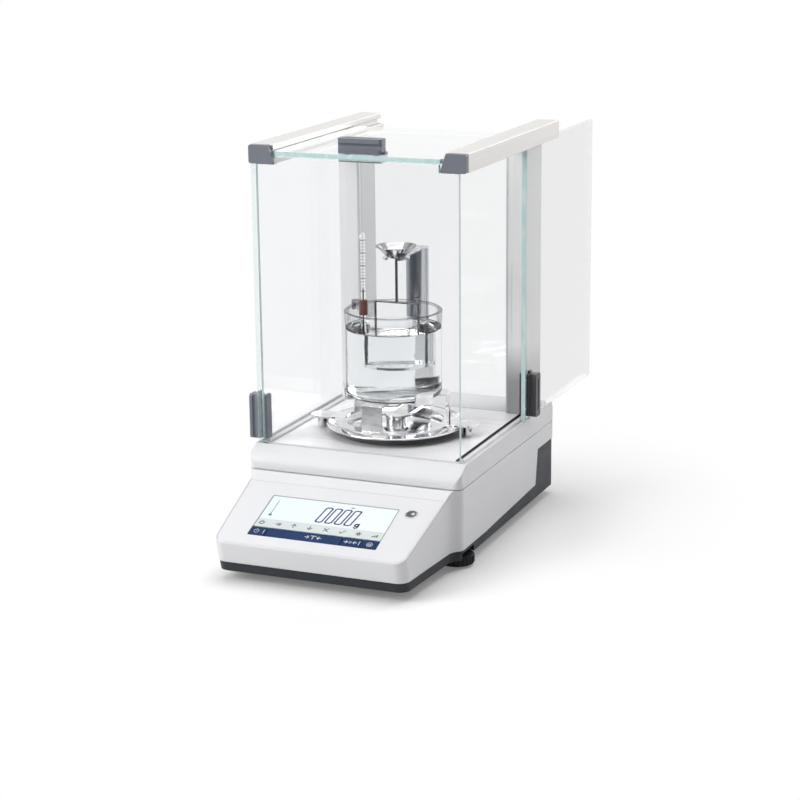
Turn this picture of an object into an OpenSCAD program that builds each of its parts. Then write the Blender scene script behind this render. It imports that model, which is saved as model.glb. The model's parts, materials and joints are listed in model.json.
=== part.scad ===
// Analytical balance with a sliding-door glass draft shield and a density kit in its chamber.
// Millimetres. The front faces -Y and +Z is up. The origin is on the bench, on the weighing axis.

/* [Housing] */
// Width of the main housing at its seam
body_w = 194; // [186:1:204]
// Weighing axis to the front of the main housing
body_front = 96.5; // [94:0.5:102]
// Weighing axis to the rear of the main housing
body_rear = 146; // [140:1:160]
// Radius of the upright corners
body_corner = 8; // [5:0.5:12]
// Height of the seam between the lower and the upper housing
seam_z = 70.5; // [66:0.5:76]
// Height of the chamber deck above the bench
deck_z = 88.5; // [86:0.5:94]
// Height of the upright band above the seam at the front
front_band_h = 10.5; // [7:0.5:13]
// Radius of the roll over the front of the deck
deck_roll = 14; // [8:0.5:16]
// Clearance between the base and the bench
base_z = 9; // [7:0.5:10]
// Height of the base's rim at the front
rim_front_z = 17.5; // [16:0.5:20]
// Height of the base's rim where it meets the rear cover
rim_rear_z = 22; // [20:0.5:26]
// Height of the rear cover
rear_cover_z = 54; // [46:1:60]
// Length of the rear cover along the side
rear_cover_len = 54; // [40:1:64]
// Wall of the plastic shells
wall = 2.5; // [2:0.1:3]
// Gap where shells are set back from each other
reveal = 0.8; // [0.5:0.1:1.2]

/* [Control nose] */
// Main housing's front to the nose's front edge
nose_len = 93.5; // [85:0.5:100]
// How far the nose is set in from the housing's sides
nose_step = 8; // [6:0.5:11]
// How much each side of the nose narrows towards its front edge
nose_draft = 5; // [3:0.5:9]
// Depth of the sloping ledge above the panel
ledge_len = 11.5; // [9:0.5:16]
// Height of the panel's top edge
panel_top_z = 65; // [60:0.5:66]
// Height of the panel's front edge
panel_front_z = 35.5; // [33:0.5:40]
// Radius of the nose's front corners
nose_corner = 10; // [6:0.5:12]
// Radius of the hollow shoulder between nose and housing
shoulder_r = 14; // [11:0.5:18]
// Thickness of the panel overlay
panel_t = 2; // [1.6:0.1:2.4]
// Border of housing left around the panel
panel_border = 1.6; // [1:0.1:3]
// Width of the display
display_w = 114; // [100:1:120]
// Height of the display along the slope
display_h = 42.5; // [36:0.5:46]
// Panel's top edge to the display
display_top = 18.5; // [14:0.5:20]
// Display's middle, to the left of the panel's middle
display_offset = 1.7; // [0:0.1:4]
// Height of the key row along the slope
key_h = 11.5; // [9:0.5:13]
// Width of each narrow key at the ends of the row
end_key_w = 15; // [12:0.5:18]
// Width of the zero key
zero_key_w = 17; // [14:0.5:20]
// Radius of the bubble level
level_r = 4.4; // [4:0.1:6]
// Display's side to the bubble level's middle
level_gap = 11.7; // [9.7:0.1:13]

/* [Draft shield] */
// Thickness of the glass
glass_t = 4; // [3:0.1:5]
// Weighing axis to the front glass's outer face
glass_front = 80; // [77:0.5:83]
// Width of the front glass
front_glass_w = 180; // [178:1:188]
// Clear height from the deck to the rails
chamber_h = 240; // [236:1:260]
// Height of a top rail
rail_h = 15.5; // [14:0.5:18]
// Width of a top rail
rail_w = 20; // [19:0.5:26]
// Rail's rear end, behind the housing
rail_overhang = 7; // [0:0.5:12]
// Slant of a rail cap's inner edge
cap_slant = 4.5; // [0:0.5:6]
// Thickness of a rail cap
cap_t = 5.8; // [5.2:0.1:7]
// Weighing axis to the front of the rear columns
column_front = 86; // [82:0.5:92]
// Width of a rear column
column_w = 19.5; // [16:0.5:22]
// Depth of a rear column
column_d = 38; // [30:1:44]
// Wall of a rear column
column_wall = 2; // [1.2:0.1:3]
// Thickness of the chamber's steel floor
floor_t = 1.4; // [1:0.1:2]
// Width of a sill seal
seal_w = 2.4; // [1.5:0.1:3]
// Height of a sill seal
seal_h = 1; // [0.6:0.1:1.4]

/* [Doors] */
// Length of a side door
door_len = 187.5; // [180:0.5:195]
// How far the closed top door reaches past the rear glass
top_door_lap = 0.85; // [0.5:0.05:3]
// Clearance beside the sliding glass
slide_gap = 0.3; // [0.2:0.05:0.5]
// Length of a door handle
handle_len = 39; // [34:0.5:44]
// Width of a door handle
handle_w = 12; // [10:0.5:14]
// Height of a door handle above the glass
handle_h = 9; // [7:0.5:11]
// Height of the top door's handle above the glass
top_handle_h = 12.5; // [9:0.5:14]
// Thickness of the clamp plate inside the glass
clamp_t = 3; // [2:0.1:3.4]
// Distance between a handle's two pegs
peg_pitch = 26; // [20:0.5:28]
// Radius of a handle's peg
peg_r = 2; // [1.5:0.1:2.5]

/* [Feet] */
// Radius of a levelling wheel
wheel_r = 15; // [13:0.5:17]
// Ribs round a levelling wheel
wheel_ribs = 24; // [16:1:32]
// Levelling foot's middle, in from the housing's side
foot_inset = 11; // [9:0.5:17]
// Levelling foot's distance in front of the weighing axis
foot_y = 77; // [70:0.5:80]
// Radius of the levelling screw
screw_r = 3; // [2.5:0.1:4]
// Thickness of a levelling foot's pad
pad_h = 2.2; // [1.8:0.1:3]
// Radius of a levelling foot's pad
pad_r = 8; // [6:0.5:10]
// Radius of a fixed rear foot
rear_foot_r = 8; // [6:0.5:10]
// Rear foot's middle, in from the housing's side
rear_foot_inset = 23; // [17:1:37]
// Rear foot's distance behind the weighing axis
rear_foot_y = 126; // [110:1:128]

/* [Density kit] */
// Radius of the drip tray
tray_r = 61; // [58:0.5:64]
// Height of the drip tray's rim above the floor
tray_h = 8.5; // [6:0.5:8.5]
// Beaker's middle, in front of the weighing axis
kit_front = 4; // [2:0.5:5]
// Outer radius of the beaker
beaker_r = 41.5; // [38:0.5:42]
// Height of the beaker
beaker_h = 75; // [60:1:80]
// Wall of the beaker
beaker_wall = 2.2; // [1.6:0.1:3]
// Height of the platform's lower ring above the deck
ring_z = 9.5; // [9:0.5:12]
// Radius of the platform's legs
leg_radius = 48; // [46:0.5:50]
// Width of a platform leg
leg_w = 18.5; // [14:0.5:20]
// Height of the beaker's seat above the deck
seat_z = 33.5; // [28:0.5:38]
// Thickness of the kit's sheet metal
sheet_t = 1.6; // [1.2:0.1:2]
// Width of a tongue
tongue_w = 20; // [14:1:24]
// Radius of the bracket's column
bracket_r = 10; // [8:0.5:10.5]
// Bracket column's middle, behind the weighing axis
bracket_back = 52; // [52:0.5:60]
// Height of the bracket's column above the deck
bracket_h = 152.5; // [145:0.5:165]
// Radius of the weighing dish's rim
dish_r = 18; // [16:0.5:20]
// Radius of the weighing dish's flat bottom
dish_bottom_r = 7; // [6:0.5:8]
// Depth of the weighing dish
dish_depth = 10.5; // [8:0.5:13]
// Hanger's middle, behind the weighing axis
hanger_back = 4; // [0:0.5:6]
// Radius of the immersed basket
basket_r = 21; // [18:0.5:23]
// Height of the basket above the beaker's seat
basket_z = 28; // [20:1:36]
// Height of the hanger's yoke above the beaker's rim
yoke_z = 4; // [3:0.5:8]
// Radius of the hanger's wire
wire_r = 1; // [0.8:0.1:1.3]
// Radius of the thermometer
thermo_r = 2.4; // [2:0.1:3]
// Length of the thermometer
thermo_len = 122; // [100:1:126]
// Thermometer's distance from the beaker's middle
thermo_radius = 33.5; // [30:0.5:33.5]
// Direction of the thermometer round the beaker
thermo_angle = 163.5; // [150:0.5:175]

/* [Weighing cell] */
// Width of the weighing cell
cell_w = 44; // [36:1:52]
// Length of the weighing cell
cell_len = 84; // [76:1:92]
// Height of the weighing cell
cell_h = 30; // [24:1:32]
// Radius of the pan carrier's post
post_r = 6; // [5:0.5:8]
// Clear hole round the carrier in floor and tray
post_clear = 3; // [2:0.5:4]
// Radius of the magnet
magnet_r = 15; // [13:0.5:17]
// Weighing axis to the magnet's middle
coil_back = 42; // [38:1:46]

/* [Hidden] */
$fn = 64;
EPS = 0.01;
BIG = 600;
// Gap round a piece that sits in a pocket
FIT = 0.15;
// Radial gap of a running fit
RUN = 0.05;
// How far the right door stands open at rest
door_open = 148;
// Travel of a levelling foot each way
foot_travel = 3;
// Travel of a key
key_travel = 0.4;
// Control nose
nose_w_rear = body_w - 2 * nose_step;
nose_w_front = nose_w_rear - 2 * nose_draft;
nose_front = body_front + nose_len;
panel_top_y = body_front + ledge_len;
slope = atan2(panel_top_z - panel_front_z, nose_front - panel_top_y);
panel_len = norm([panel_top_z - panel_front_z, nose_front - panel_top_y]);
taper = atan2((nose_w_rear - nose_w_front) / 2, nose_front - panel_top_y);
slope_wall = panel_t + wall;
// Place in front of the nose that outlines are drawn from
ahead = nose_front + 10;
keys_top = display_top + display_h + 0.5;
keys_bottom = keys_top + key_h;
key_x0 = -display_w / 2;
key_x1 = display_w / 2;
level_x = display_w / 2 - display_offset + level_gap;
level_s = display_top + level_r;
level_ring = 1;
// Shoulder between nose and housing
corner_at = [body_w / 2 - body_corner, -body_front + body_corner];
shoulder_dx = nose_w_rear / 2 + shoulder_r - corner_at.x;
shoulder_at = corner_at + [shoulder_dx, -sqrt(pow(body_corner + shoulder_r, 2) - pow(shoulder_dx, 2))];
// Seam groove round the housing
seam_gap = 0.7;
seam_deep = 1.3;
// Rear cover and its connectors
cover_y = body_rear - rear_cover_len;
cover_rake = 6;
rear_rake = 7;
port_z = (rim_rear_z + rear_cover_z) / 2;
rear_post_x = body_w / 2 - rear_foot_inset - 4;
inlet_side = 18;
port_pitch = 38;
inlet_at = inlet_side - rear_post_x;
inlet_r = 4.6;
inlet_bore = 2.75;
serial_at = inlet_at + port_pitch;
serial_half = [9.6, 5.2];
// Draft shield
door_x = front_glass_w / 2 + 1;
top_half = door_x + glass_t + 1.3;
door_z = deck_z - 2.1;
door_top = 3.8;
rail_z = deck_z + chamber_h;
rail_top = rail_z + rail_h;
cap_proud = 0.3;
rail_front = glass_front + cap_proud - cap_t;
rail_rear = body_rear + rail_overhang;
rail_inner = top_half - rail_w;
rail_lip_x = rail_inner - 2.5;
groove_deep = 3.4;
groove_high = 4.4;
top_glass_z = rail_z + 6.5;
column_x = door_x - 1 - column_w;
column_seal = 1.6;
floor_half = door_x - 7;
floor_z = deck_z - floor_t - 0.2;
floor_top = floor_z + floor_t;
floor_front = -glass_front + glass_t + 1.5;
floor_rear = column_front + 4;
ledge_w = 4;
sill_gap = 0.2;
seal_x = floor_half + sill_gap;
stop_low = seal_x + seal_w + sill_gap;
stop_r = (door_x - slide_gap - sill_gap - stop_low) / 2;
rear_glass_t = 3;
// Doors
door_front = -glass_front + 1;
top_door_front = -glass_front + 2;
top_door_rear = floor_rear + FIT + rear_glass_t + top_door_lap;
handle_y = -glass_front + glass_t + 0.6 + handle_w / 2 - 1;
handle_z = deck_z + 2.2 + handle_len / 2;
top_handle_y = -glass_front + 14;
// Feet
foot_x = body_w / 2 - foot_inset;
rear_foot_x = body_w / 2 - rear_foot_inset;
foot_roof = 2.4;
recess_z = rim_front_z - foot_roof - 0.7;
wheel_h = recess_z - pad_h - foot_travel - 1.2;
wheel_gap = 1.6;
rib_r = 0.9;
bush_r = screw_r + 2.5;
bush_h = 9;
screw_shank = 1.5;
screw_head = 2.8;
screw_grip = 11;
post_wall_r = 4;
post_web = 2;
// Places of the screws that hold the shells together
screw_places = [
    for (x = [-1, 1]) each [
        [x * (nose_w_front / 2 - 12), -nose_front + 26],
        [x * (body_w / 2 - reveal - wall - post_wall_r - FIT), 0],
        [x * rear_post_x, body_rear - reveal - wall - post_wall_r - FIT]
    ]
];
// Weighing cell
cell_z = base_z + 14;
cell_top = cell_z + cell_h;
cell_mid_y = coil_back / 2;
cell_bolts = [
    for (x = [-1, 1], y = [-1, 1]) [x * (cell_w / 2 - 6), cell_mid_y + y * (cell_len / 2 - 6)]
];
cell_bolt_r = 1.6;
cell_bolt_head = 3.4;
cell_bolt_grip = 7;
magnet_h = 14;
coil_gap = 4;
coil_t = 2;
lever_z = cell_top + magnet_h + 3;
lever_t = 3;
// Density kit
tray_floor = 1.2;
tray_flare = 11;
tray_hole = post_r + post_clear + 1.6;
hub_z = deck_z + 6;
hub_r = post_r + 3.2;
arm_z = floor_top + tray_h + 1.2;
arm_t = 3.2;
arm_w = 16;
hub_rise = 8;
seat_top = deck_z + seat_z;
rim_z = seat_top + beaker_h;
kit_y = -kit_front;
tongue_reach = tray_r + 5 + tongue_w / 2;
leg_angles = [29, 149, 269];
tab_angles = [-31, 89, 209];
tongue_angles = [6, 186];
tab_h = 9;
fork_z = deck_z + bracket_h - sheet_t;
fork_r = dish_bottom_r + 1.2;
dish_low = fork_z + sheet_t - (fork_r - dish_bottom_r - 0.4) * dish_depth / (dish_r - dish_bottom_r);
yoke_at = rim_z + yoke_z;
basket_top = seat_top + basket_z;
basket_h = 2.4;
// Colours
SLATE = [0.42, 0.44, 0.48];
WHITE = [0.9, 0.91, 0.93];
DARK = [0.22, 0.23, 0.24];
RUBBER = [0.07, 0.07, 0.07];
GLASS = [0.75, 0.88, 0.88, 0.35];
STEEL = [0.78, 0.78, 0.78];
ALUMINIUM = [0.83, 0.82, 0.8];
BRASS = [0.8, 0.65, 0.3];
COPPER = [0.72, 0.45, 0.2];
BOARD = [0.1, 0.35, 0.2];
KEY_BLUE = [0.1, 0.22, 0.45];

// Half width of the nose at a distance in front of the weighing axis
function nose_half(y) = nose_w_rear / 2 - (y - panel_top_y) * tan(taper);

// Height of the panel's face at a distance in front of the weighing axis
function panel_z(y) = panel_front_z + (nose_front - y) * tan(slope);

// Box from its two corners
module box(low, high) {
    translate(low) cube(high - low);
}

// Rectangle with rounded corners, from its two corners
module rounded_rect(low, high, r) {
    translate([low.x + r, low.y]) square([high.x - low.x - 2 * r, high.y - low.y]);
    translate([low.x, low.y + r]) square([high.x - low.x, high.y - low.y - 2 * r]);
    for (x = [low.x + r, high.x - r], y = [low.y + r, high.y - r]) translate([x, y]) circle(r);
}

// Solid with a side outline of [y, z] points, across the whole width
module side_prism(points) {
    rotate([90, 0, 90]) linear_extrude(BIG, center = true) polygon(points);
}

// Solid with a front outline of [x, z] points, from y0 to y1
module front_prism(points, y0, y1) {
    translate([0, y1, 0]) rotate([90, 0, 0]) linear_extrude(y1 - y0) polygon(points);
}

// What is cut off to round an outline's corner at p, whose edges run along a and b
module corner_waste(p, a, b, r) {
    angle = acos(a * b);
    reach = r / tan(angle / 2);
    out_a = ((a * b) * a - b) / sin(angle);
    out_b = ((a * b) * b - a) / sin(angle);
    difference() {
        polygon([
            p + reach * a, p + reach * a + out_a, p + out_a + out_b, p + reach * b + out_b, p + reach * b
        ]);
        translate(p + (a + b) * r / sin(angle)) circle(r);
    }
}

// Left and right copies
module both_sides() {
    children();
    mirror([1, 0, 0]) children();
}

// Moves a piece onto the control panel: x across, -y down the slope, z out of the panel
module on_panel() {
    translate([0, -panel_top_y, panel_top_z]) rotate([slope, 0, 0]) children();
}

// Half of the nose's outline, drawn in by inset
module nose_half_plan(inset) {
    centre_y = nose_front - nose_corner;
    centre_x = nose_half(centre_y) - nose_corner / cos(taper);
    r = nose_corner - inset;
    root = nose_half(body_front) - inset;
    polygon([
        [0, corner_at.y], [root, corner_at.y], [root, -body_front],
        [centre_x + r * cos(taper), -centre_y - r * sin(taper)],
        [centre_x, -nose_front + inset], [0, -nose_front + inset]
    ]);
    translate([centre_x, -centre_y]) circle(r);
}

// Hollow shoulder between the nose and the main housing, drawn in by inset
module shoulder_plan(inset) {
    touch = corner_at + (shoulder_at - corner_at) * (body_corner - inset) / (body_corner + shoulder_r);
    difference() {
        polygon([
            [0, corner_at.y], corner_at, touch, [shoulder_at.x - shoulder_r, shoulder_at.y],
            [0, shoulder_at.y]
        ]);
        translate(shoulder_at) circle(shoulder_r + inset);
    }
}

// Plan of the main housing without its nose, drawn in by inset
module body_plan(inset = 0) {
    rounded_rect(
        [-body_w / 2 + inset, -body_front + inset], [body_w / 2 - inset, body_rear - inset],
        body_corner - inset
    );
}

// Plan of the lower housing and base, drawn in by inset
module housing_plan(inset = 0) {
    body_plan(inset);
    both_sides() {
        nose_half_plan(inset);
        shoulder_plan(inset);
    }
}

// Floor and rim of the base
module base_shell() {
    difference() {
        intersection() {
            linear_extrude(BIG) housing_plan(reveal);
            side_prism([
                [-ahead, base_z], [body_rear, base_z], [body_rear, rim_rear_z], [cover_y, rim_rear_z],
                [-foot_y / 2, rim_front_z], [-ahead, rim_front_z]
            ]);
        }
        translate([0, 0, base_z + wall]) linear_extrude(BIG) housing_plan(reveal + wall);
    }
}

// Dark base: shell, roofs over the levelling wheels and bosses under the weighing cell
module base_pan() {
    color(DARK) difference() {
        union() {
            base_shell();
            intersection() {
                linear_extrude(BIG) housing_plan(reveal);
                both_sides() translate([foot_x, -foot_y, base_z])
                    cylinder(h = recess_z + foot_roof - base_z, r = wheel_r + wheel_gap + foot_roof);
            }
            for (p = cell_bolts) translate([p.x, p.y, base_z]) cylinder(h = cell_z - base_z, r = 5);
        }
        both_sides() {
            translate([foot_x, -foot_y, -EPS]) cylinder(h = recess_z + EPS, r = wheel_r + wheel_gap);
            translate([foot_x, -foot_y, 0]) cylinder(h = BIG, r = bush_r);
            translate([rear_foot_x, rear_foot_y, 0]) cylinder(h = BIG, r = 2);
        }
        for (p = screw_places) translate([p.x, p.y, 0]) cylinder(h = BIG, r = screw_shank + FIT);
        for (p = cell_bolts) translate([p.x, p.y, 0]) cylinder(h = BIG, r = cell_bolt_r + 0.5);
    }
}

// Posts inside the lower housing that the base's screws run into
module screw_posts() {
    low = base_z + wall;
    side = screw_places[1];
    rear = screw_places[2];
    nose = screw_places[0];
    both_sides() {
        translate([nose.x, nose.y, low])
            cylinder(h = panel_z(-nose.y) - slope_wall - low, r = post_wall_r);
        translate([side.x, side.y, low]) cylinder(h = seam_z - seam_gap - low, r = post_wall_r);
        translate([rear.x, rear.y, low]) cylinder(h = seam_z - seam_gap - low, r = post_wall_r);
        box(
            [-side.x, side.y - post_web, rim_rear_z + 1],
            [body_w / 2 - wall / 2, side.y + post_web, seam_z - seam_gap]
        );
        box(
            [-rear.x - post_web, rear.y, rear_cover_z + 1],
            [-rear.x + post_web, body_rear - wall / 2, seam_z - seam_gap]
        );
    }
}

// White shell with the sloped control nose, open below
module lower_housing() {
    opening = [display_w / 2 + 2, 2];
    color(WHITE) difference() {
        union() {
            difference() {
                intersection() {
                    linear_extrude(BIG) housing_plan();
                    side_prism([
                        [-ahead, rim_front_z], [-ahead, panel_z(ahead)], [-panel_top_y, panel_top_z],
                        [-body_front, seam_z], [body_rear, seam_z], [body_rear, rear_cover_z],
                        [cover_y + cover_rake, rear_cover_z], [cover_y, rim_rear_z],
                        [-foot_y / 2, rim_front_z]
                    ]);
                }
                intersection() {
                    linear_extrude(BIG) housing_plan(wall);
                    side_prism([
                        [-ahead, 0], [-ahead, panel_z(ahead) - slope_wall],
                        [-panel_top_y, panel_top_z - slope_wall], [-body_front + wall, seam_z - wall],
                        [-body_front + wall, BIG], [BIG, BIG], [BIG, 0]
                    ]);
                }
            }
            screw_posts();
        }
        translate([0, 0, seam_z - seam_gap]) linear_extrude(BIG) difference() {
            square(2 * BIG, center = true);
            body_plan(seam_deep);
        }
        for (p = screw_places) translate([p.x, p.y, 0])
            cylinder(h = base_z + wall + screw_grip + 1, r = screw_shank + RUN);
        on_panel() {
            translate([0, 0, -panel_t]) linear_extrude(BIG) panel_plan(0);
            translate([-display_offset, 0, -2 * slope_wall]) linear_extrude(BIG) rounded_rect(
                [-opening.x, -keys_bottom - opening.y], [opening.x, -display_top + opening.y], 2
            );
            translate([level_x, -level_s, -3 * slope_wall]) cylinder(h = BIG, r = level_r + 1.6);
        }
    }
}

// Panel overlay's outline, smaller by gap
module panel_plan(gap) {
    top = -panel_border - gap;
    bottom = -panel_len + panel_border + gap;
    top_half_w = nose_w_rear / 2 - panel_border - gap;
    bottom_half_w = nose_w_front / 2 - panel_border - gap;
    side = [top_half_w - bottom_half_w, top - bottom];
    difference() {
        polygon([
            [-top_half_w, top], [top_half_w, top], [bottom_half_w, bottom], [-bottom_half_w, bottom]
        ]);
        both_sides()
            corner_waste([bottom_half_w, bottom], [-1, 0], side / norm(side), nose_corner - panel_border);
    }
}

module control_panel() {
    color(WHITE) on_panel() translate([0, 0, -panel_t]) linear_extrude(panel_t) difference() {
        panel_plan(FIT);
        translate([-display_offset, 0])
            rounded_rect([key_x0, -keys_bottom], [key_x1, -display_top], 1);
        translate([level_x, -level_s]) circle(level_r + level_ring + FIT);
    }
}

module display_module() {
    behind = 3;
    below = 0.2;
    color([0.85, 0.93, 0.98]) on_panel() translate([-display_offset, 0, -panel_t - behind])
        linear_extrude(panel_t + behind - below) rounded_rect(
            [key_x0 + FIT, -display_top - display_h + FIT], [key_x1 - FIT, -display_top - FIT], 1
        );
}

module display_board() {
    board_t = 1.6;
    chip = 12;
    color(BOARD) on_panel() translate([-display_offset, 0, -panel_t - 8]) {
        linear_extrude(board_t)
            rounded_rect([key_x0 - 1, -keys_bottom - 1], [key_x1 + 1, -display_top + 1], 2);
        for (i = [-1 : 1]) translate([i * 3 * chip, -display_top - display_h / 2, board_t])
            cube([chip, chip, 2]);
    }
}

// Short-stroke key between two places across the key row
module panel_key(x0, x1) {
    low = [x0 + slide_gap, -keys_bottom + slide_gap];
    high = [x1 - slide_gap, -keys_top - slide_gap];
    color(KEY_BLUE) on_panel() translate([-display_offset, 0, -panel_t - key_travel])
        linear_extrude(panel_t + key_travel) rounded_rect(low, high, 0.8);
}

module on_off_key() {
    panel_key(key_x0, key_x0 + end_key_w);
}

module tare_key() {
    panel_key(key_x0 + end_key_w, key_x1 - end_key_w - zero_key_w);
}

module zero_key() {
    panel_key(key_x1 - end_key_w - zero_key_w, key_x1 - end_key_w);
}

module print_key() {
    panel_key(key_x1 - end_key_w, key_x1);
}

module level_housing() {
    deep = 7;
    color(DARK) on_panel() translate([level_x, -level_s, 0]) difference() {
        translate([0, 0, -deep]) cylinder(h = deep + 0.3, r = level_r + level_ring);
        translate([0, 0, -deep + 2]) cylinder(h = BIG, r = level_r);
    }
}

module level_vial() {
    vial_h = 4.9;
    color([0.8, 0.85, 0.6, 0.6]) on_panel() translate([level_x, -level_s, -vial_h])
        cylinder(h = vial_h, r = level_r - 0.1);
}

// Dark cover round the rear, with the connectors' holes
module rear_cover() {
    color(DARK) difference() {
        intersection() {
            linear_extrude(BIG) housing_plan(reveal);
            side_prism([
                [cover_y, rim_rear_z], [BIG, rim_rear_z], [BIG, rear_cover_z],
                [cover_y + cover_rake, rear_cover_z]
            ]);
        }
        linear_extrude(BIG) housing_plan(reveal + wall);
        translate([inlet_at, 0, port_z]) rotate([-90, 0, 0]) cylinder(h = BIG, r = inlet_r);
        box(
            [serial_at - serial_half.x - 0.5, 0, port_z - serial_half.y - 0.5],
            [serial_at + serial_half.x + 0.5, BIG, port_z + serial_half.y + 0.5]
        );
    }
}

module dc_inlet() {
    deep = 11.4;
    block = 14;
    color(RUBBER) translate([inlet_at, body_rear - reveal, port_z]) rotate([90, 0, 0]) difference() {
        union() {
            translate([0, 0, -0.6]) cylinder(h = deep + 0.6, r = inlet_r - FIT);
            translate([-block / 2, -block / 2, wall]) cube([block, block, deep - wall]);
        }
        translate([0, 0, -1]) cylinder(h = deep - 1, r = inlet_bore);
    }
}

module serial_port() {
    flange = [31, 12.5, 1.2];
    skin = 0.8;
    inside = serial_half - [skin, skin];
    color(STEEL) translate([serial_at, body_rear - reveal - wall, port_z]) rotate([-90, 0, 0]) {
        translate([-flange.x / 2, -flange.y / 2, -flange.z]) cube(flange);
        difference() {
            linear_extrude(wall + 4) rounded_rect(-serial_half, serial_half, 2);
            translate([0, 0, 1]) linear_extrude(BIG) rounded_rect(-inside, inside, 1.2);
        }
    }
}

// Side outline of the upper housing, whose deck rolls over into the band at the front
module upper_profile() {
    band_z = seam_z + front_band_h;
    deck_front = glass_front + 0.8;
    fall = atan2(deck_z - band_z, body_front - deck_front);
    r = min(deck_roll, (front_band_h - 0.5) * tan((90 + fall) / 2));
    difference() {
        polygon([
            [-body_front, seam_z], [-body_front, band_z], [-deck_front, deck_z],
            [body_rear - rear_rake, deck_z], [body_rear, seam_z]
        ]);
        corner_waste([-body_front, band_z], [0, -1], [cos(fall), sin(fall)], r);
    }
}

// White frame under the chamber, with the slots for the glass
module upper_housing() {
    band_z = seam_z + front_band_h;
    ceiling = floor_z - 4.5;
    widest = max(body_w / 2, top_half);
    hollow = min(body_w / 2, top_half) - wall;
    color(WHITE) difference() {
        intersection() {
            linear_extrude(BIG)
                rounded_rect([-widest, -body_front], [widest, body_rear], body_corner);
            rotate([90, 0, 90]) linear_extrude(BIG, center = true) upper_profile();
            front_prism([
                [-body_w / 2, seam_z], [-top_half, band_z], [-top_half, BIG],
                [top_half, BIG], [top_half, band_z], [body_w / 2, seam_z]
            ], -BIG / 2, BIG / 2);
        }
        box(
            [-hollow, -glass_front - 3 * wall, 0],
            [hollow, body_rear - rear_rake - 2 * wall, ceiling]
        );
        box(
            [-floor_half + ledge_w, floor_front + ledge_w, 0],
            [floor_half - ledge_w, floor_rear - ledge_w, BIG]
        );
        box([-floor_half, floor_front, floor_z], [floor_half, floor_rear, BIG]);
        box(
            [-front_glass_w / 2 - FIT, -glass_front - FIT, deck_z - 1.8],
            [front_glass_w / 2 + FIT, -glass_front + glass_t + FIT, BIG]
        );
        both_sides() box(
            [door_x - slide_gap, -glass_front + 0.4, door_z - slide_gap],
            [door_x + glass_t + slide_gap, BIG, BIG]
        );
    }
}

module floor_plate() {
    color(STEEL) translate([0, 0, floor_z]) linear_extrude(floor_t) difference() {
        translate([-floor_half + FIT, floor_front + FIT])
            square([2 * floor_half - 2 * FIT, floor_rear - floor_front - 2 * FIT]);
        circle(tray_hole + 1.4);
    }
}

module sill_seals() {
    color(RUBBER) both_sides() box(
        [seal_x, floor_front, deck_z], [seal_x + seal_w, column_front - 1, deck_z + seal_h]
    );
}

// Small round stops with a slit at the front of the sills
module sill_stops() {
    slit = [stop_r / 3, seal_h / 2];
    color(WHITE) both_sides() translate([stop_low + stop_r, floor_front + 2 * stop_r, deck_z]) difference() {
        cylinder(h = seal_h, r = stop_r);
        translate([-slit.x / 2, -BIG / 2, seal_h - slit.y]) cube([slit.x, BIG, BIG]);
    }
}

module front_glass() {
    side_top = rail_z - 0.2;
    mid_top = top_glass_z - slide_gap;
    low = deck_z - 1.7;
    half = front_glass_w / 2;
    mid_half = rail_lip_x - 1;
    color(GLASS) front_prism([
        [-half, low], [half, low], [half, side_top], [mid_half, side_top], [mid_half, mid_top],
        [-mid_half, mid_top], [-mid_half, side_top], [-half, side_top]
    ], -glass_front, -glass_front + glass_t);
}

module rear_glass() {
    half = column_x - FIT;
    color(GLASS) box(
        [-half, floor_rear + FIT, deck_z],
        [half, floor_rear + FIT + rear_glass_t, top_glass_z - slide_gap]
    );
}

// Rear column on the right-hand side: a rectangular tube with a step for its seal
module column() {
    inside = [column_w - 2 * column_wall, column_d - 2 * column_wall - column_seal];
    color(ALUMINIUM) translate([column_x, column_front, deck_z]) linear_extrude(chamber_h) difference() {
        square([column_w, column_d]);
        translate([column_wall, column_wall + column_seal]) square(inside);
        translate([-EPS, -EPS]) square(column_seal + EPS);
    }
}

module right_column() {
    column();
}

module left_column() {
    mirror([1, 0, 0]) column();
}

module column_seals() {
    color(RUBBER) both_sides() translate([column_x, column_front, deck_z])
        cube([column_seal, column_seal, chamber_h]);
}

// Top rail on the right-hand side, with a groove for the top door and one for the side door
module rail() {
    groove_x = rail_inner + groove_deep;
    groove_low = top_glass_z - slide_gap;
    groove_top = top_glass_z + glass_t + slide_gap;
    color(ALUMINIUM) difference() {
        front_prism([
            [rail_lip_x, rail_z], [top_half, rail_z], [top_half, rail_top], [rail_inner, rail_top],
            [rail_inner, groove_top], [groove_x, groove_top], [groove_x, groove_low],
            [rail_lip_x, groove_low]
        ], -rail_front, rail_rear);
        box(
            [door_x - slide_gap, -rail_front - EPS, rail_z - EPS],
            [door_x + glass_t + slide_gap, rail_rear + EPS, rail_z + groove_high]
        );
    }
}

module right_rail() {
    rail();
}

module left_rail() {
    mirror([1, 0, 0]) rail();
}

// Moulded cap on the right-hand rail's front end, with a pocket for the closed door's edge
module rail_cap() {
    bevel = 1.2;
    slant_x = rail_lip_x + cap_slant;
    color(SLATE) difference() {
        front_prism([
            [rail_lip_x + bevel / 2, rail_z], [top_half - bevel, rail_z], [top_half, rail_z + bevel],
            [top_half, rail_top - bevel], [top_half - bevel, rail_top], [slant_x + bevel, rail_top],
            [slant_x, rail_top - bevel], [rail_lip_x, rail_z + bevel]
        ], -rail_front - cap_t, -rail_front);
        box(
            [door_x - slide_gap, door_front - slide_gap, rail_z - EPS],
            [door_x + glass_t + slide_gap, BIG, rail_z + groove_high]
        );
    }
}

module right_rail_cap() {
    rail_cap();
}

module left_rail_cap() {
    mirror([1, 0, 0]) rail_cap();
}

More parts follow.
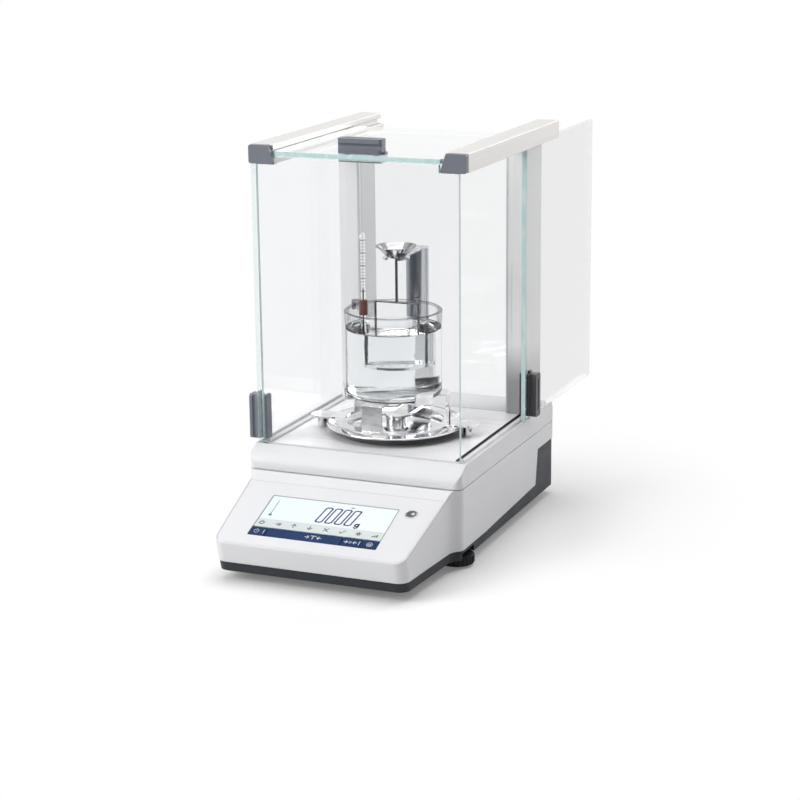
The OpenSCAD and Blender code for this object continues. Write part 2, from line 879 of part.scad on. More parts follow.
// Turns a piece made flat onto the right-hand door's outer face: x runs up, z points out
module on_side_door() {
    translate([door_x + glass_t, handle_y, handle_z]) rotate([0, 90, 0]) rotate([0, 0, 180]) children();
}

// Door handle's outer body with finger grooves, an end tab and two pegs, lying on the glass
module handle_body(h) {
    groove_half = [handle_len / 2 - 5, 1.1];
    tab = [2.4, 5, 2.2];
    difference() {
        linear_extrude(h)
            rounded_rect([-handle_len / 2, -handle_w / 2], [handle_len / 2, handle_w / 2], 2.5);
        translate([0, 0, h - 1.4]) linear_extrude(BIG) rounded_rect(-groove_half, groove_half, 1);
        for (side = [-1, 1]) translate([0, side * (handle_w / 2 + 0.2), h / 2]) rotate([0, 90, 0])
            cylinder(h = handle_len + 1, r = h / 5, center = true);
    }
    translate([handle_len / 2 - 1, -tab.y / 2, 0]) cube(tab + [1, 0, 0]);
    for (x = [-1, 1]) translate([x * peg_pitch / 2, 0, -glass_t]) cylinder(h = glass_t + 1, r = peg_r);
}

// Clamp plate on the inner face of the glass
module handle_clamp() {
    half = [handle_len / 2, handle_w / 2 - 1];
    translate([0, 0, -glass_t - clamp_t]) linear_extrude(clamp_t) rounded_rect(-half, half, 2);
}

// Side door's glass in the closed place on the right, with its handle's two holes
module side_door_glass() {
    color(GLASS) difference() {
        box(
            [door_x, door_front, door_z],
            [door_x + glass_t, door_front + door_len, rail_z + door_top]
        );
        for (z = [-1, 1]) translate([0, handle_y, handle_z + z * peg_pitch / 2]) rotate([0, 90, 0])
            cylinder(h = BIG, r = peg_r + FIT);
    }
}

module right_door_glass() {
    translate([0, door_open, 0]) side_door_glass();
}

module right_door_handle() {
    color(SLATE) translate([0, door_open, 0]) on_side_door() handle_body(handle_h);
}

module right_door_clamp() {
    color(SLATE) translate([0, door_open, 0]) on_side_door() handle_clamp();
}

module left_door_glass() {
    mirror([1, 0, 0]) side_door_glass();
}

module left_door_handle() {
    color(SLATE) mirror([1, 0, 0]) on_side_door() handle_body(handle_h);
}

module left_door_clamp() {
    color(SLATE) mirror([1, 0, 0]) on_side_door() handle_clamp();
}

// Top door's glass: narrow between the rail caps, wide in the rails' grooves
module top_door_glass() {
    wide = rail_inner + groove_deep - slide_gap;
    narrow = rail_lip_x - 0.6;
    step = -rail_front + slide_gap;
    color(GLASS) translate([0, 0, top_glass_z]) linear_extrude(glass_t) difference() {
        polygon([
            [-narrow, top_door_front], [narrow, top_door_front], [narrow, step], [wide, step],
            [wide, top_door_rear], [-wide, top_door_rear], [-wide, step], [-narrow, step]
        ]);
        for (x = [-1, 1]) translate([x * peg_pitch / 2, top_handle_y]) circle(peg_r + FIT);
    }
}

module top_door_handle() {
    color(SLATE) translate([0, top_handle_y, top_glass_z + glass_t]) handle_body(top_handle_h);
}

module top_door_clamp() {
    color(SLATE) translate([0, top_handle_y, top_glass_z + glass_t]) handle_clamp();
}

module foot_bushes() {
    color(BRASS) both_sides() translate([foot_x, -foot_y, recess_z]) difference() {
        cylinder(h = bush_h, r = bush_r - RUN);
        translate([0, 0, -EPS]) cylinder(h = BIG, r = screw_r + RUN);
    }
}

// Ribbed levelling wheel with its screw
module foot_wheel(side) {
    color(DARK) translate([side * foot_x, -foot_y, pad_h]) {
        cylinder(h = wheel_h, r = wheel_r - rib_r);
        for (i = [0 : wheel_ribs - 1]) rotate(i * 360 / wheel_ribs) translate([wheel_r - rib_r, 0, rib_r])
            cylinder(h = wheel_h - 2 * rib_r, r = rib_r, $fn = 24);
        translate([0, 0, -1]) cylinder(h = recess_z + bush_h - pad_h, r = screw_r);
    }
}

module left_foot_wheel() {
    foot_wheel(-1);
}

module right_foot_wheel() {
    foot_wheel(1);
}

// Pad that the levelling screw turns in
module foot_pad(side) {
    color(RUBBER) translate([side * foot_x, -foot_y, 0]) difference() {
        cylinder(h = pad_h - 0.2, r = pad_r);
        translate([0, 0, pad_h - 1.2]) cylinder(h = BIG, r = screw_r + 2 * RUN);
    }
}

module left_foot_pad() {
    foot_pad(-1);
}

module right_foot_pad() {
    foot_pad(1);
}

module rear_feet() {
    color(RUBBER) both_sides() translate([rear_foot_x, rear_foot_y, 0]) {
        cylinder(h = base_z, r = rear_foot_r);
        cylinder(h = base_z + wall, r = 1.9);
    }
}

// Pan-head screw pointing up, with its head under z = 0
module screw(head_r, head_h, shank_r, length) {
    translate([0, 0, -head_h]) cylinder(h = head_h, r = head_r);
    translate([0, 0, -head_h / 2]) cylinder(h = length + head_h / 2, r = shank_r);
}

module base_screws() {
    color(STEEL) for (p = screw_places) translate([p.x, p.y, base_z])
        screw(screw_head, 1.6, screw_shank, wall + screw_grip);
}

module cell_screws() {
    color(STEEL) for (p = cell_bolts) translate([p.x, p.y, base_z])
        screw(cell_bolt_head, cell_bolt_r, cell_bolt_r, cell_z - base_z + cell_bolt_grip);
}

// Weighing cell: one milled block with the windows that leave its flexures
module weigh_cell() {
    window = [26, cell_h * 0.2];
    color(ALUMINIUM) difference() {
        translate([-cell_w / 2, cell_mid_y - cell_len / 2, cell_z]) cube([cell_w, cell_len, cell_h]);
        for (z = [0.22, 0.62], y = [-cell_len / 4, cell_len / 5])
            translate([-BIG / 2, cell_mid_y + y - window[0] / 2, cell_z + z * cell_h])
                cube([BIG, window[0], window[1]]);
        for (p = cell_bolts) translate([p.x, p.y, cell_z - EPS])
            cylinder(h = cell_bolt_grip + 2, r = cell_bolt_r + RUN);
    }
}

// Pot magnet with a ring gap for the coil
module cell_magnet() {
    color(DARK) translate([0, coil_back, cell_top]) difference() {
        cylinder(h = magnet_h, r = magnet_r);
        translate([0, 0, 3]) difference() {
            cylinder(h = BIG, r = magnet_r - coil_gap);
            cylinder(h = BIG, r = magnet_r - 2 * coil_gap);
        }
    }
}

// Coil in the magnet's gap, on the lever that ties it to the pan carrier
module coil_lever() {
    coil_r = magnet_r - coil_gap - 1;
    coil_z = cell_top + 5;
    color(COPPER) {
        translate([0, coil_back, coil_z]) difference() {
            cylinder(h = lever_z - coil_z + EPS, r = coil_r);
            translate([0, 0, -EPS]) cylinder(h = BIG, r = coil_r - coil_t);
        }
        difference() {
            box([-post_r - 2, -post_r - 2, lever_z], [post_r + 2, coil_back + coil_r, lever_z + lever_t]);
            cylinder(h = BIG, r = post_r);
        }
    }
}

module pan_carrier() {
    low = cell_top + 2;
    cone_h = 6;
    color(ALUMINIUM) {
        translate([0, 0, low]) cylinder(h = hub_z - low - cone_h + EPS, r = post_r);
        translate([0, 0, hub_z - cone_h]) cylinder(h = cone_h, r1 = post_r + 2, r2 = post_r);
    }
}

// Shallow tray with a raised rim and a raised ring round its middle
module drip_tray() {
    lip = 1.6;
    inner_ring = tray_r * 0.72;
    color(STEEL) translate([0, 0, floor_top]) rotate_extrude() polygon([
        [tray_hole, 0], [tray_r - tray_flare, 0], [tray_r - lip, tray_h - 2 * lip], [tray_r, tray_h - lip],
        [tray_r, tray_h], [tray_r - lip, tray_h], [inner_ring + 5, tray_floor + 0.8],
        [inner_ring + 3, tray_floor + 2], [inner_ring, tray_floor + 2], [inner_ring - 2, tray_floor],
        [tray_hole, tray_floor]
    ]);
}

// Strip that points from the beaker's middle, between two radii
module radial_strip(angle, r0, r1, z0, z1) {
    rotate(angle) box([r0, -leg_w / 2, z0], [r1, leg_w / 2, z1]);
}

// Beaker platform: lower ring with two tongues on feet, legs, seat and centring tabs
module platform() {
    ring_low = deck_z + ring_z;
    tab_r = beaker_r + 0.8;
    color(STEEL) translate([0, kit_y, 0]) {
        difference() {
            translate([0, 0, ring_low]) linear_extrude(sheet_t) {
                difference() {
                    circle(leg_radius + 4);
                    circle(leg_radius - 5);
                }
                for (a = tongue_angles) rotate(a) rounded_rect(
                    [leg_radius - 3, -tongue_w / 2], [tongue_reach, tongue_w / 2], tongue_w / 2 - EPS
                );
            }
            box([-bracket_r - 4, 0, 0], [bracket_r + 4, BIG, ring_low + 2 * sheet_t]);
        }
        for (a = tongue_angles) rotate(a) translate([tongue_reach - tongue_w / 2, 0, floor_top])
            cylinder(h = ring_low - floor_top + EPS, r = 4);
        for (a = leg_angles) {
            radial_strip(a, leg_radius - sheet_t, leg_radius, ring_low + sheet_t - EPS, seat_top);
            radial_strip(a, 0, leg_radius, seat_top - sheet_t, seat_top);
        }
        for (a = tab_angles) {
            radial_strip(a, 0, tab_r + sheet_t, seat_top - sheet_t, seat_top);
            radial_strip(a, tab_r, tab_r + sheet_t, seat_top - EPS, seat_top + tab_h);
        }
        translate([0, 0, seat_top - sheet_t]) cylinder(h = sheet_t, r = beaker_r / 2);
    }
}

module beaker() {
    heel = 5;
    bead = 1.6;
    color(GLASS) translate([0, kit_y, seat_top]) rotate_extrude() difference() {
        union() {
            square([beaker_r - heel, heel]);
            translate([0, heel]) square([beaker_r, beaker_h - heel - bead]);
            translate([beaker_r - heel, heel]) circle(heel);
            translate([beaker_r - beaker_wall + bead, beaker_h - bead]) circle(bead);
        }
        translate([0, beaker_wall + 1.2]) square([beaker_r - beaker_wall, BIG]);
    }
}

// Turns a piece to the thermometer's place round the beaker
module at_thermometer() {
    translate([0, kit_y, 0]) rotate(thermo_angle) translate([thermo_radius, 0, 0]) children();
}

// Clip over the beaker's rim with a sleeve for the thermometer
module thermometer_clip() {
    sleeve_r = thermo_r + 1.4;
    sleeve_h = 13;
    strap = 2.6;
    top = rim_z + 3.5;
    leg_low = rim_z - 6;
    inner = beaker_r - beaker_wall - thermo_radius - 0.4;
    outer = beaker_r - thermo_radius + 1.8;
    color([0.45, 0.2, 0.17]) at_thermometer() difference() {
        union() {
            translate([0, 0, top - sleeve_h]) cylinder(h = sleeve_h, r = sleeve_r);
            box([0, -strap, rim_z + 1], [outer + sheet_t, strap, top - 0.5]);
            box([outer, -strap, leg_low], [outer + sheet_t, strap, top - 0.5]);
            box([0, -strap, leg_low], [inner, strap, top - 0.5]);
        }
        cylinder(h = BIG, r = thermo_r + 2 * RUN);
    }
}

module thermometer() {
    above_seat = 14;
    color([0.85, 0.9, 0.92, 0.6]) at_thermometer() translate([0, 0, seat_top + above_seat]) {
        cylinder(h = thermo_len, r = thermo_r);
        translate([0, 0, thermo_len]) sphere(thermo_r);
    }
}

// Hub on the pan carrier, with the arm that carries the column
module bracket_base() {
    low = floor_top + tray_floor + 1.4;
    color(STEEL) difference() {
        union() {
            translate([0, 0, low]) cylinder(h = hub_z + hub_rise - low, r = hub_r);
            translate([-arm_w / 2, 0, arm_z]) cube([arm_w, bracket_back, arm_t]);
            translate([0, bracket_back, arm_z]) cylinder(h = arm_t, r = bracket_r);
        }
        translate([0, 0, hub_z - 6 - EPS])
            cylinder(h = 6 + EPS, r1 = post_r + 2 + 2 * RUN, r2 = post_r + 2 * RUN);
    }
}

// Column with the fork that the dish sits in
module bracket_column() {
    low = arm_z + arm_t;
    top = deck_z + bracket_h;
    skin = 1.5;
    slot = fork_r * 0.6;
    color(ALUMINIUM) difference() {
        union() {
            translate([0, bracket_back, low]) cylinder(h = top - low, r = bracket_r);
            box([-6, hanger_back, fork_z], [6, bracket_back, top]);
            translate([0, hanger_back, fork_z]) cylinder(h = sheet_t, r = fork_r + 3.5);
        }
        translate([0, bracket_back, low - EPS])
            cylinder(h = fork_z - low - 2 * skin, r = bracket_r - skin);
        translate([0, hanger_back, fork_z - 1]) cylinder(h = BIG, r = fork_r);
        box([-slot, hanger_back - dish_r, fork_z - 1], [slot, hanger_back, BIG]);
    }
}

module weighing_dish() {
    skin = 0.8;
    color(STEEL) translate([0, hanger_back, dish_low]) rotate_extrude() polygon([
        [0, 0], [dish_bottom_r, 0], [dish_r, dish_depth], [dish_r - skin, dish_depth],
        [dish_bottom_r - skin / 2, skin], [0, skin]
    ]);
}

// Stem under the dish, yoke over the beaker and two wires down to the basket
module hanger() {
    reach = basket_r - wire_r;
    color(STEEL) translate([0, hanger_back, 0]) {
        translate([0, 0, yoke_at]) cylinder(h = dish_low - yoke_at, r = wire_r + 0.2, $fn = 32);
        translate([-reach, 0, yoke_at]) rotate([0, 90, 0]) cylinder(h = 2 * reach, r = wire_r, $fn = 32);
        for (x = [-reach, reach]) translate([x, 0, basket_top]) {
            cylinder(h = yoke_at - basket_top, r = wire_r, $fn = 32);
            translate([0, 0, yoke_at - basket_top]) sphere(wire_r, $fn = 32);
        }
    }
}

// Perforated basket with a rim
module basket() {
    skin = 0.8;
    hole_r = 1.3;
    ring_pitch = (basket_r - 5) / 3;
    color(STEEL) translate([0, hanger_back, basket_top - basket_h]) difference() {
        cylinder(h = basket_h, r = basket_r);
        translate([0, 0, skin]) cylinder(h = BIG, r = basket_r - 2 * wire_r - 0.2);
        for (n = [1 : 3], i = [0 : 6 * n - 1]) rotate(i * 60 / n) translate([n * ring_pitch, 0, -EPS])
            cylinder(h = BIG, r = hole_r, $fn = 24);
    }
}

module main_board() {
    board_t = 1.6;
    post_h = 4;
    cell_gap = 8;
    side_gap = 26;
    rear_gap = 30;
    edge = 8;
    converter = [30, 6.4];
    low = base_z + wall + post_h;
    start = [cell_w / 2 + cell_gap, -foot_y / 2];
    end = [body_w / 2 - side_gap, body_rear - rear_gap];
    color(BOARD) {
        box([start.x, start.y, low], [end.x, end.y, low + board_t]);
        translate([start.x + edge, start.y + 2 * edge, low + board_t])
            cube([end.x - start.x - 2 * edge, converter.x, converter.y]);
        translate([start.x + edge, end.y - 2 * edge - converter.x, low + board_t])
            cube([end.x - start.x - 2 * edge, converter.x, converter.y / 2]);
        for (x = [start.x + edge / 2, end.x - edge / 2], y = [start.y + edge / 2, end.y - edge / 2])
            translate([x, y, base_z + wall]) cylinder(h = post_h + EPS, r = board_t * 1.5);
    }
}

base_pan();
lower_housing();
rear_cover();
upper_housing();
floor_plate();
sill_seals();
sill_stops();
front_glass();
rear_glass();
left_column();
right_column();
column_seals();
left_rail();
right_rail();
left_rail_cap();
right_rail_cap();
control_panel();
display_module();
display_board();
level_housing();
level_vial();
main_board();
weigh_cell();
cell_magnet();
cell_screws();
dc_inlet();
serial_port();
base_screws();
rear_feet();
foot_bushes();
drip_tray();
platform();
beaker();
thermometer_clip();
left_door_glass();
left_door_handle();
left_door_clamp();
right_door_glass();
right_door_handle();
right_door_clamp();
top_door_glass();
top_door_handle();
top_door_clamp();
pan_carrier();
coil_lever();
bracket_base();
bracket_column();
weighing_dish();
hanger();
basket();
thermometer();
on_off_key();
tare_key();
zero_key();
print_key();
left_foot_wheel();
right_foot_wheel();
left_foot_pad();
right_foot_pad();
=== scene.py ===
"""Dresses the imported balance: moulded shells, glass, display, density kit, studio and camera."""

import json
import logging
import math
from dataclasses import dataclass, field
from enum import Enum
from functools import reduce
from typing import Any, Callable, Sequence

import bmesh
import bpy
from mathutils import Matrix, Vector

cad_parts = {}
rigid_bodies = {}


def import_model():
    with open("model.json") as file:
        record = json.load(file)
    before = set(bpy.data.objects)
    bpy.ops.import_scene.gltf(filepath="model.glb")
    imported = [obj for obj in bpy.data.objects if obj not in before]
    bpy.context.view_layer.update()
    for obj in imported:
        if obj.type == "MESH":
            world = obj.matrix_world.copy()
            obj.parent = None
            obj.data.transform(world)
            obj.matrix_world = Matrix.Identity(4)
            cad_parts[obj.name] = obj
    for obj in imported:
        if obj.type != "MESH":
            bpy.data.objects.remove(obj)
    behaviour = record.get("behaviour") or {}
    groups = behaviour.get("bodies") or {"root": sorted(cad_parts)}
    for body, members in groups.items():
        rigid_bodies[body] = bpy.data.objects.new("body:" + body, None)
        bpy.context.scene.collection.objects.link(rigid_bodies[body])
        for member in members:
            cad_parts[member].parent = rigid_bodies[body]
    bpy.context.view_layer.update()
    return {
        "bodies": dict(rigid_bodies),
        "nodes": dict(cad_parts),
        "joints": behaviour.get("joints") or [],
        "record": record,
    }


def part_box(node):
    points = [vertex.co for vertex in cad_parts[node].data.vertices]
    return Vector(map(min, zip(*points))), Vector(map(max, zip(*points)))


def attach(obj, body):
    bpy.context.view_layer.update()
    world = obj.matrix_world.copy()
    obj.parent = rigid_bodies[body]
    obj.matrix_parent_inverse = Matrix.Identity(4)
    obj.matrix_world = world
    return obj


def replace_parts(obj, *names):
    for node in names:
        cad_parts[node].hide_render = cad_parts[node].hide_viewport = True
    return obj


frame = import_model()
LOG = logging.getLogger("balance")
MM = 0.001
Point = tuple[float, float]
Point3 = tuple[float, float, float]
Colour = tuple[float, float, float]
Socket = bpy.types.NodeSocket
Material = bpy.types.Material
Mesh = bpy.types.Mesh
Face = bmesh.types.BMFace
ONES: Point3 = (1.0, 1.0, 1.0)
# Parts of a cloudy pattern's range that give a clear and a soft change
CLEAR_CHANGE: Point = (0.35, 0.65)
SOFT_CHANGE: Point = (0.3, 0.7)
# Angles: smooth shading up to the first, flat joins up to the next, rounding from the last
SMOOTH_ANGLE, FLAT_ANGLE, SHARP_ANGLE = map(math.radians, (35.0, 0.5, 28.0))
# Corners this close are one, in metres; lathe points this close to the axis are on it, in mm
WELD, ON_AXIS = 2e-6, 1e-6
# Sloping face of the control nose: from flat millimetres, with y up the slope, to the shared frame
PANEL_TOP, PANEL_FALL, PANEL_RUN = Vector((0.0, -108.0, 65.0)), 29.5, 82.0
PANEL_TILT = Matrix.Rotation(math.atan2(PANEL_FALL, PANEL_RUN), 4, "X")
PANEL = Matrix.Translation(PANEL_TOP * MM) @ PANEL_TILT @ Matrix.Scale(MM, 4)


class Axis(Enum):
    """Main directions of the shared frame."""

    X, Y, Z = range(3)


class Graph:
    """Node tree of one material, with short calls for the nodes that the finishes share."""

    edge_turn: Point = (0.99, 0.8)
    edge_samples: int = 4
    shine_base: float = 0.02
    shine_power: float = 5.0

    def __init__(self, name: str, sky: bool = False) -> None:
        """Start an empty tree with its output.

        Args:
            name: Name of the new material or world.
            sky: Whether it is a world.
        """
        self.owner = bpy.data.worlds.new(name) if sky else bpy.data.materials.new(name)
        self.owner.use_nodes = True
        self.tree = self.owner.node_tree
        self.tree.nodes.clear()
        self.output = self.node("OutputWorld" if sky else "OutputMaterial")

    def node(self, kind: str, *values: Any, how: str = "", **inputs: Any) -> bpy.types.Node:
        """Add a node.

        Args:
            kind: Blender's name for the node, without the ShaderNode before it.
            values: Plain values or outputs for its first inputs.
            how: Its operation, where it has one.
            inputs: Other inputs by name, with underscores for spaces.

        Returns:
            The new node.
        """
        made = self.tree.nodes.new(f"ShaderNode{kind}")
        if how:
            made.operation = how
        for socket, value in zip(made.inputs, values):
            self.feed(socket, value)
        for key, value in inputs.items():
            self.feed(made.inputs[key.replace("_", " ")], value)
        return made

    def out(self, kind: str, *values: Any, **inputs: Any) -> Socket:
        """Add a node and give its first output."""
        return self.node(kind, *values, **inputs).outputs[0]

    def feed(self, socket: Socket, value: Any) -> None:
        """Set an input or link it.

        Args:
            socket: The input.
            value: A plain value, a colour or another node's output.
        """
        if isinstance(value, Socket):
            self.tree.links.new(value, socket)
        elif socket.type == "RGBA":
            socket.default_value = (*value, 1.0)
        else:
            socket.default_value = value

    def times(self, first: Any, second: Any) -> Socket:
        """Multiply two numbers."""
        return self.out("Math", first, second, how="MULTIPLY")

    def mix(self, share: Any, first: Any, second: Any) -> Socket:
        """Mix two colours.

        Args:
            share: Share of the second colour.
            first: First colour or output.
            second: Second colour or output.

        Returns:
            The mixed colour.
        """
        made = self.node("Mix")
        made.data_type = "RGBA"
        for index, value in ((0, share), (6, first), (7, second)):
            self.feed(made.inputs[index], value)
        return made.outputs[2]

    def span(self, value: Any, low: float, high: float, start: float = 0.0, end: float = 1.0) -> Socket:
        """Map a number from the range low to high to the range start to end, held at the ends."""
        return self.out("MapRange", Value=value, From_Min=low, From_Max=high, To_Min=start, To_Max=end)

    def place(self, stretch: Point3 = ONES) -> Socket:
        """Give the piece's own coordinates in metres, times a factor for each direction."""
        coords = self.node("TexCoord").outputs["Object"]
        return self.out("Mapping", Vector=coords, Scale=stretch)

    def along(self, axis: Axis) -> Socket:
        """Give the place in one direction, in metres."""
        return self.node("SeparateXYZ", Vector=self.place()).outputs[axis.value]

    def noise(self, scale: float, stretch: Point3 = ONES, detail: float = 3.0) -> Socket:
        """Give a cloudy pattern from 0 to 1, by its patches to the metre and its octaves."""
        return self.out("TexNoise", Vector=self.place(stretch), Scale=scale, Detail=detail)

    def edge(self, radius: float) -> tuple[Socket, Socket]:
        """Find the edges of a piece and round them in the light.

        Args:
            radius: Radius of the rounding in millimetres.

        Returns:
            A mask that is 1 on the edges, and the rounded normal.
        """
        bevel = self.node("Bevel", Radius=radius * MM)
        bevel.samples = self.edge_samples
        flat = self.node("NewGeometry").outputs["Normal"]
        turn = self.node("VectorMath", bevel.outputs[0], flat, how="DOT_PRODUCT").outputs["Value"]
        return self.span(turn, *self.edge_turn), bevel.outputs[0]

    def bump(self, height: Any, strength: float, depth: float, normal: Any = None) -> Socket:
        """Raise a pattern by a share of a depth in millimetres, from a normal where there is one."""
        start = {} if normal is None else {"Normal": normal}
        return self.out("Bump", Height=height, Strength=strength, Distance=depth * MM, **start)

    def blend(self, share: Any, first: Any, second: Any) -> Socket:
        """Mix two shaders by the share of the second."""
        return self.out("MixShader", share, first, second)

    def rays(self, *kinds: str) -> Socket:
        """Give 1 on rays of one of these kinds and 0 on others."""
        found = (self.node("LightPath").outputs[f"Is {kind} Ray"] for kind in kinds)
        return reduce(lambda first, second: self.out("Math", first, second, how="MAXIMUM"), found)

    def lets_lamps_through(self, shader: Socket, tint: Colour) -> Socket:
        """Let the light of lamps pass a clear material, in this tint."""
        clear = self.out("BsdfTransparent", Color=tint)
        return self.blend(self.rays("Shadow", "Diffuse"), shader, clear)

    def facing(self) -> Socket:
        """Give 0 where a surface is seen straight on and 1 where it is seen edge on."""
        return self.node("LayerWeight", Blend=0.5).outputs["Facing"]

    def shine(self) -> Socket:
        """Give the share of light that a glass surface reflects."""
        power = self.out("Math", self.facing(), self.shine_power, how="POWER")
        return self.span(power, 0.0, 1.0, self.shine_base)

    def solid(self, **inputs: Any) -> None:
        """Finish the material with the standard shader."""
        self.done(self.out("BsdfPrincipled", **inputs))

    def done(self, shader: Socket) -> Any:
        """Link the shader to the output and give the material or world."""
        self.feed(self.output.inputs["Surface"], shader)
        return self.owner


@dataclass(frozen=True)
class Finish:
    """Finish of a surface, whose material is made once."""

    name: str
    colour: Colour

    def build(self) -> None:
        """Make the material."""
        raise NotImplementedError

    def material(self) -> Material:
        """Give the material, made at the first call.

        Returns:
            The material.
        """
        if self.name not in bpy.data.materials:
            self.build()
        return bpy.data.materials[self.name]


@dataclass(frozen=True)
class Moulded(Finish):
    """Moulded plastic or rubber: fine grain, cloudy tone and worn edges, darker on the panel film as painted
    shade of the gap round it.
    """

    drift: Colour
    edge: Colour
    roughness: float = 0.42
    grain: float = 0.25
    pitch: float = 1400.0
    radius: float = 0.6
    wear: float = 0.5
    gloss: float = 0.5

    def build(self) -> None:
        """Make the material."""
        graph = Graph(self.name)
        mask, normal = graph.edge(self.radius)
        tone = graph.mix(graph.span(graph.noise(16.0), *CLEAR_CHANGE), self.colour, self.drift)
        scuffs = graph.span(graph.noise(160.0), 0.3, 0.6, 0.3, self.wear)
        tone = graph.mix(graph.times(mask, scuffs), tone, self.edge)
        rough = graph.span(graph.noise(60.0), *SOFT_CHANGE, self.roughness - 0.05, self.roughness + 0.06)
        grain = graph.bump(graph.noise(self.pitch, detail=2.0), self.grain, 0.05, normal)
        graph.solid(Base_Color=tone, Roughness=rough, Normal=grain, Specular_IOR_Level=self.gloss)


@dataclass(frozen=True)
class Brushed(Finish):
    """Brushed metal with fine lines along one direction, painted edge highlights, and painted shade at its
    foot where a foot is given.
    """

    dark: Colour
    along: Axis = Axis.Z
    roughness: float = 0.3
    metal: float = 0.6
    lines: float = 700.0
    radius: float = 0.4
    foot: float = 0.0
    foot_shade_reach: Point = (0.118, 0.152)
    foot_shade_tone: Colour = (0.12, 0.12, 0.125)
    edge_highlight: Colour = (0.95, 0.95, 0.95)

    def build(self) -> None:
        """Make the material."""
        graph = Graph(self.name)
        stretch = tuple(0.012 if axis is self.along else 1.0 for axis in Axis)
        fine = graph.noise(self.lines, stretch, 4.0)
        broad = graph.noise(self.lines / 9, stretch, 2.0)
        mask, normal = graph.edge(self.radius)
        tone = graph.mix(graph.span(fine, *SOFT_CHANGE), self.dark, self.colour)
        tone = graph.mix(graph.span(broad, 0.4, 0.7, 0.0, 0.35), tone, self.dark)
        # Painted shade: darker towards the bottom, standing in for shade and the dark seal's reflection at
        # the column's foot.
        foot = graph.span(graph.along(Axis.Z), *self.foot_shade_reach, self.foot, 0.0)
        tone = graph.mix(foot, tone, self.foot_shade_tone)
        # Painted highlight: edges take a paler colour, as if they caught the light.
        tone = graph.mix(graph.times(mask, 0.5), tone, self.edge_highlight)
        rough = graph.span(fine, 0.25, 0.75, self.roughness - 0.05, self.roughness + 0.08)
        grooves = graph.bump(fine, 0.06, 0.02, normal)
        graph.solid(Base_Color=tone, Metallic=self.metal, Roughness=rough, Normal=grooves)


@dataclass(frozen=True)
class Polished(Finish):
    """Polished metal with faint smears, painted reflection bands on the post and painted highlights on its
    edges.
    """

    dark: Colour
    roughness: float = 0.08
    pitch: float = 55.0
    stretch: Point3 = (1.0, 1.0, 3.0)
    radius: float = 0.3
    edge_highlight: Colour = (0.97, 0.97, 0.97)

    def build(self) -> None:
        """Make the material."""
        graph = Graph(self.name)
        # Faint smears on most pieces; on the post, stretched upright, painted reflection bands.
        smears_and_reflection_bands = graph.noise(self.pitch, self.stretch)
        mask, normal = graph.edge(self.radius)
        tone = graph.mix(graph.span(smears_and_reflection_bands, 0.35, 0.7), self.colour, self.dark)
        # Painted highlight: edges take a paler colour, as if they caught the light.
        tone = graph.mix(graph.times(mask, 0.6), tone, self.edge_highlight)
        rough = graph.span(smears_and_reflection_bands, *SOFT_CHANGE, self.roughness - 0.03, self.roughness + 0.08)
        fine = graph.bump(graph.noise(900.0, detail=2.0), 0.03, 0.02, normal)
        graph.solid(Base_Color=tone, Metallic=1.0, Roughness=rough, Normal=fine)


@dataclass(frozen=True)
class PaneFace(Finish):
    """Thin clear glass that doesn't bend the light, with a weak reflection, a trace of dust and a darker tint
    painted where it is seen edge on.
    """

    slanted: Colour
    gloss: float = 1.0
    slant: Point = (0.1, 0.65)
    dust: float = 0.012
    dust_tone: Colour = (0.9, 0.92, 0.92)

    def build(self) -> None:
        """Make the material."""
        graph = Graph(self.name)
        dust = graph.span(graph.noise(45.0, detail=6.0), 0.45, 0.8, 0.0, self.dust)
        # Painted reflection: the tint darkens edge on, standing in for dark surroundings seen in the glass.
        tint = graph.mix(graph.span(graph.facing(), *self.slant), self.colour, self.slanted)
        clear = graph.out("BsdfTransparent", Color=tint)
        mirror = graph.out("BsdfGlossy", Color=ONES, Roughness=0.02)
        veil = graph.out("BsdfDiffuse", Color=self.dust_tone)
        share = graph.times(graph.shine(), self.gloss)
        shader = graph.blend(dust, graph.blend(share, clear, mirror), veil)
        graph.done(graph.lets_lamps_through(shader, ONES))


@dataclass(frozen=True)
class PaneEdge(Finish):
    """Ground edge of a glass pane, aqua in front and nearly clear at the rear."""

    deep: Colour
    pale: Colour
    clear: Point = (0.0, 0.85)
    fade: Point = (0.072, 0.09)
    through: Colour = (0.97, 0.985, 0.985)

    def build(self) -> None:
        """Make the material."""
        graph = Graph(self.name)
        glints = graph.noise(240.0, (1.0, 1.0, 0.25))
        depth = graph.along(Axis.Y)
        tone = graph.mix(graph.span(glints, *CLEAR_CHANGE), self.colour, self.deep)
        ground = graph.out(
            "BsdfPrincipled",
            Base_Color=graph.mix(graph.span(depth, *self.fade), tone, self.pale),
            Roughness=graph.span(glints, *SOFT_CHANGE, 0.12, 0.35),
            Normal=graph.bump(graph.noise(2500.0, detail=2.0), 0.15, 0.03),
            Coat_Weight=0.6,
            Coat_Roughness=0.1,
        )
        through = graph.out("BsdfTransparent", Color=self.through)
        graph.done(graph.blend(graph.span(depth, *self.fade, *self.clear), ground, through))


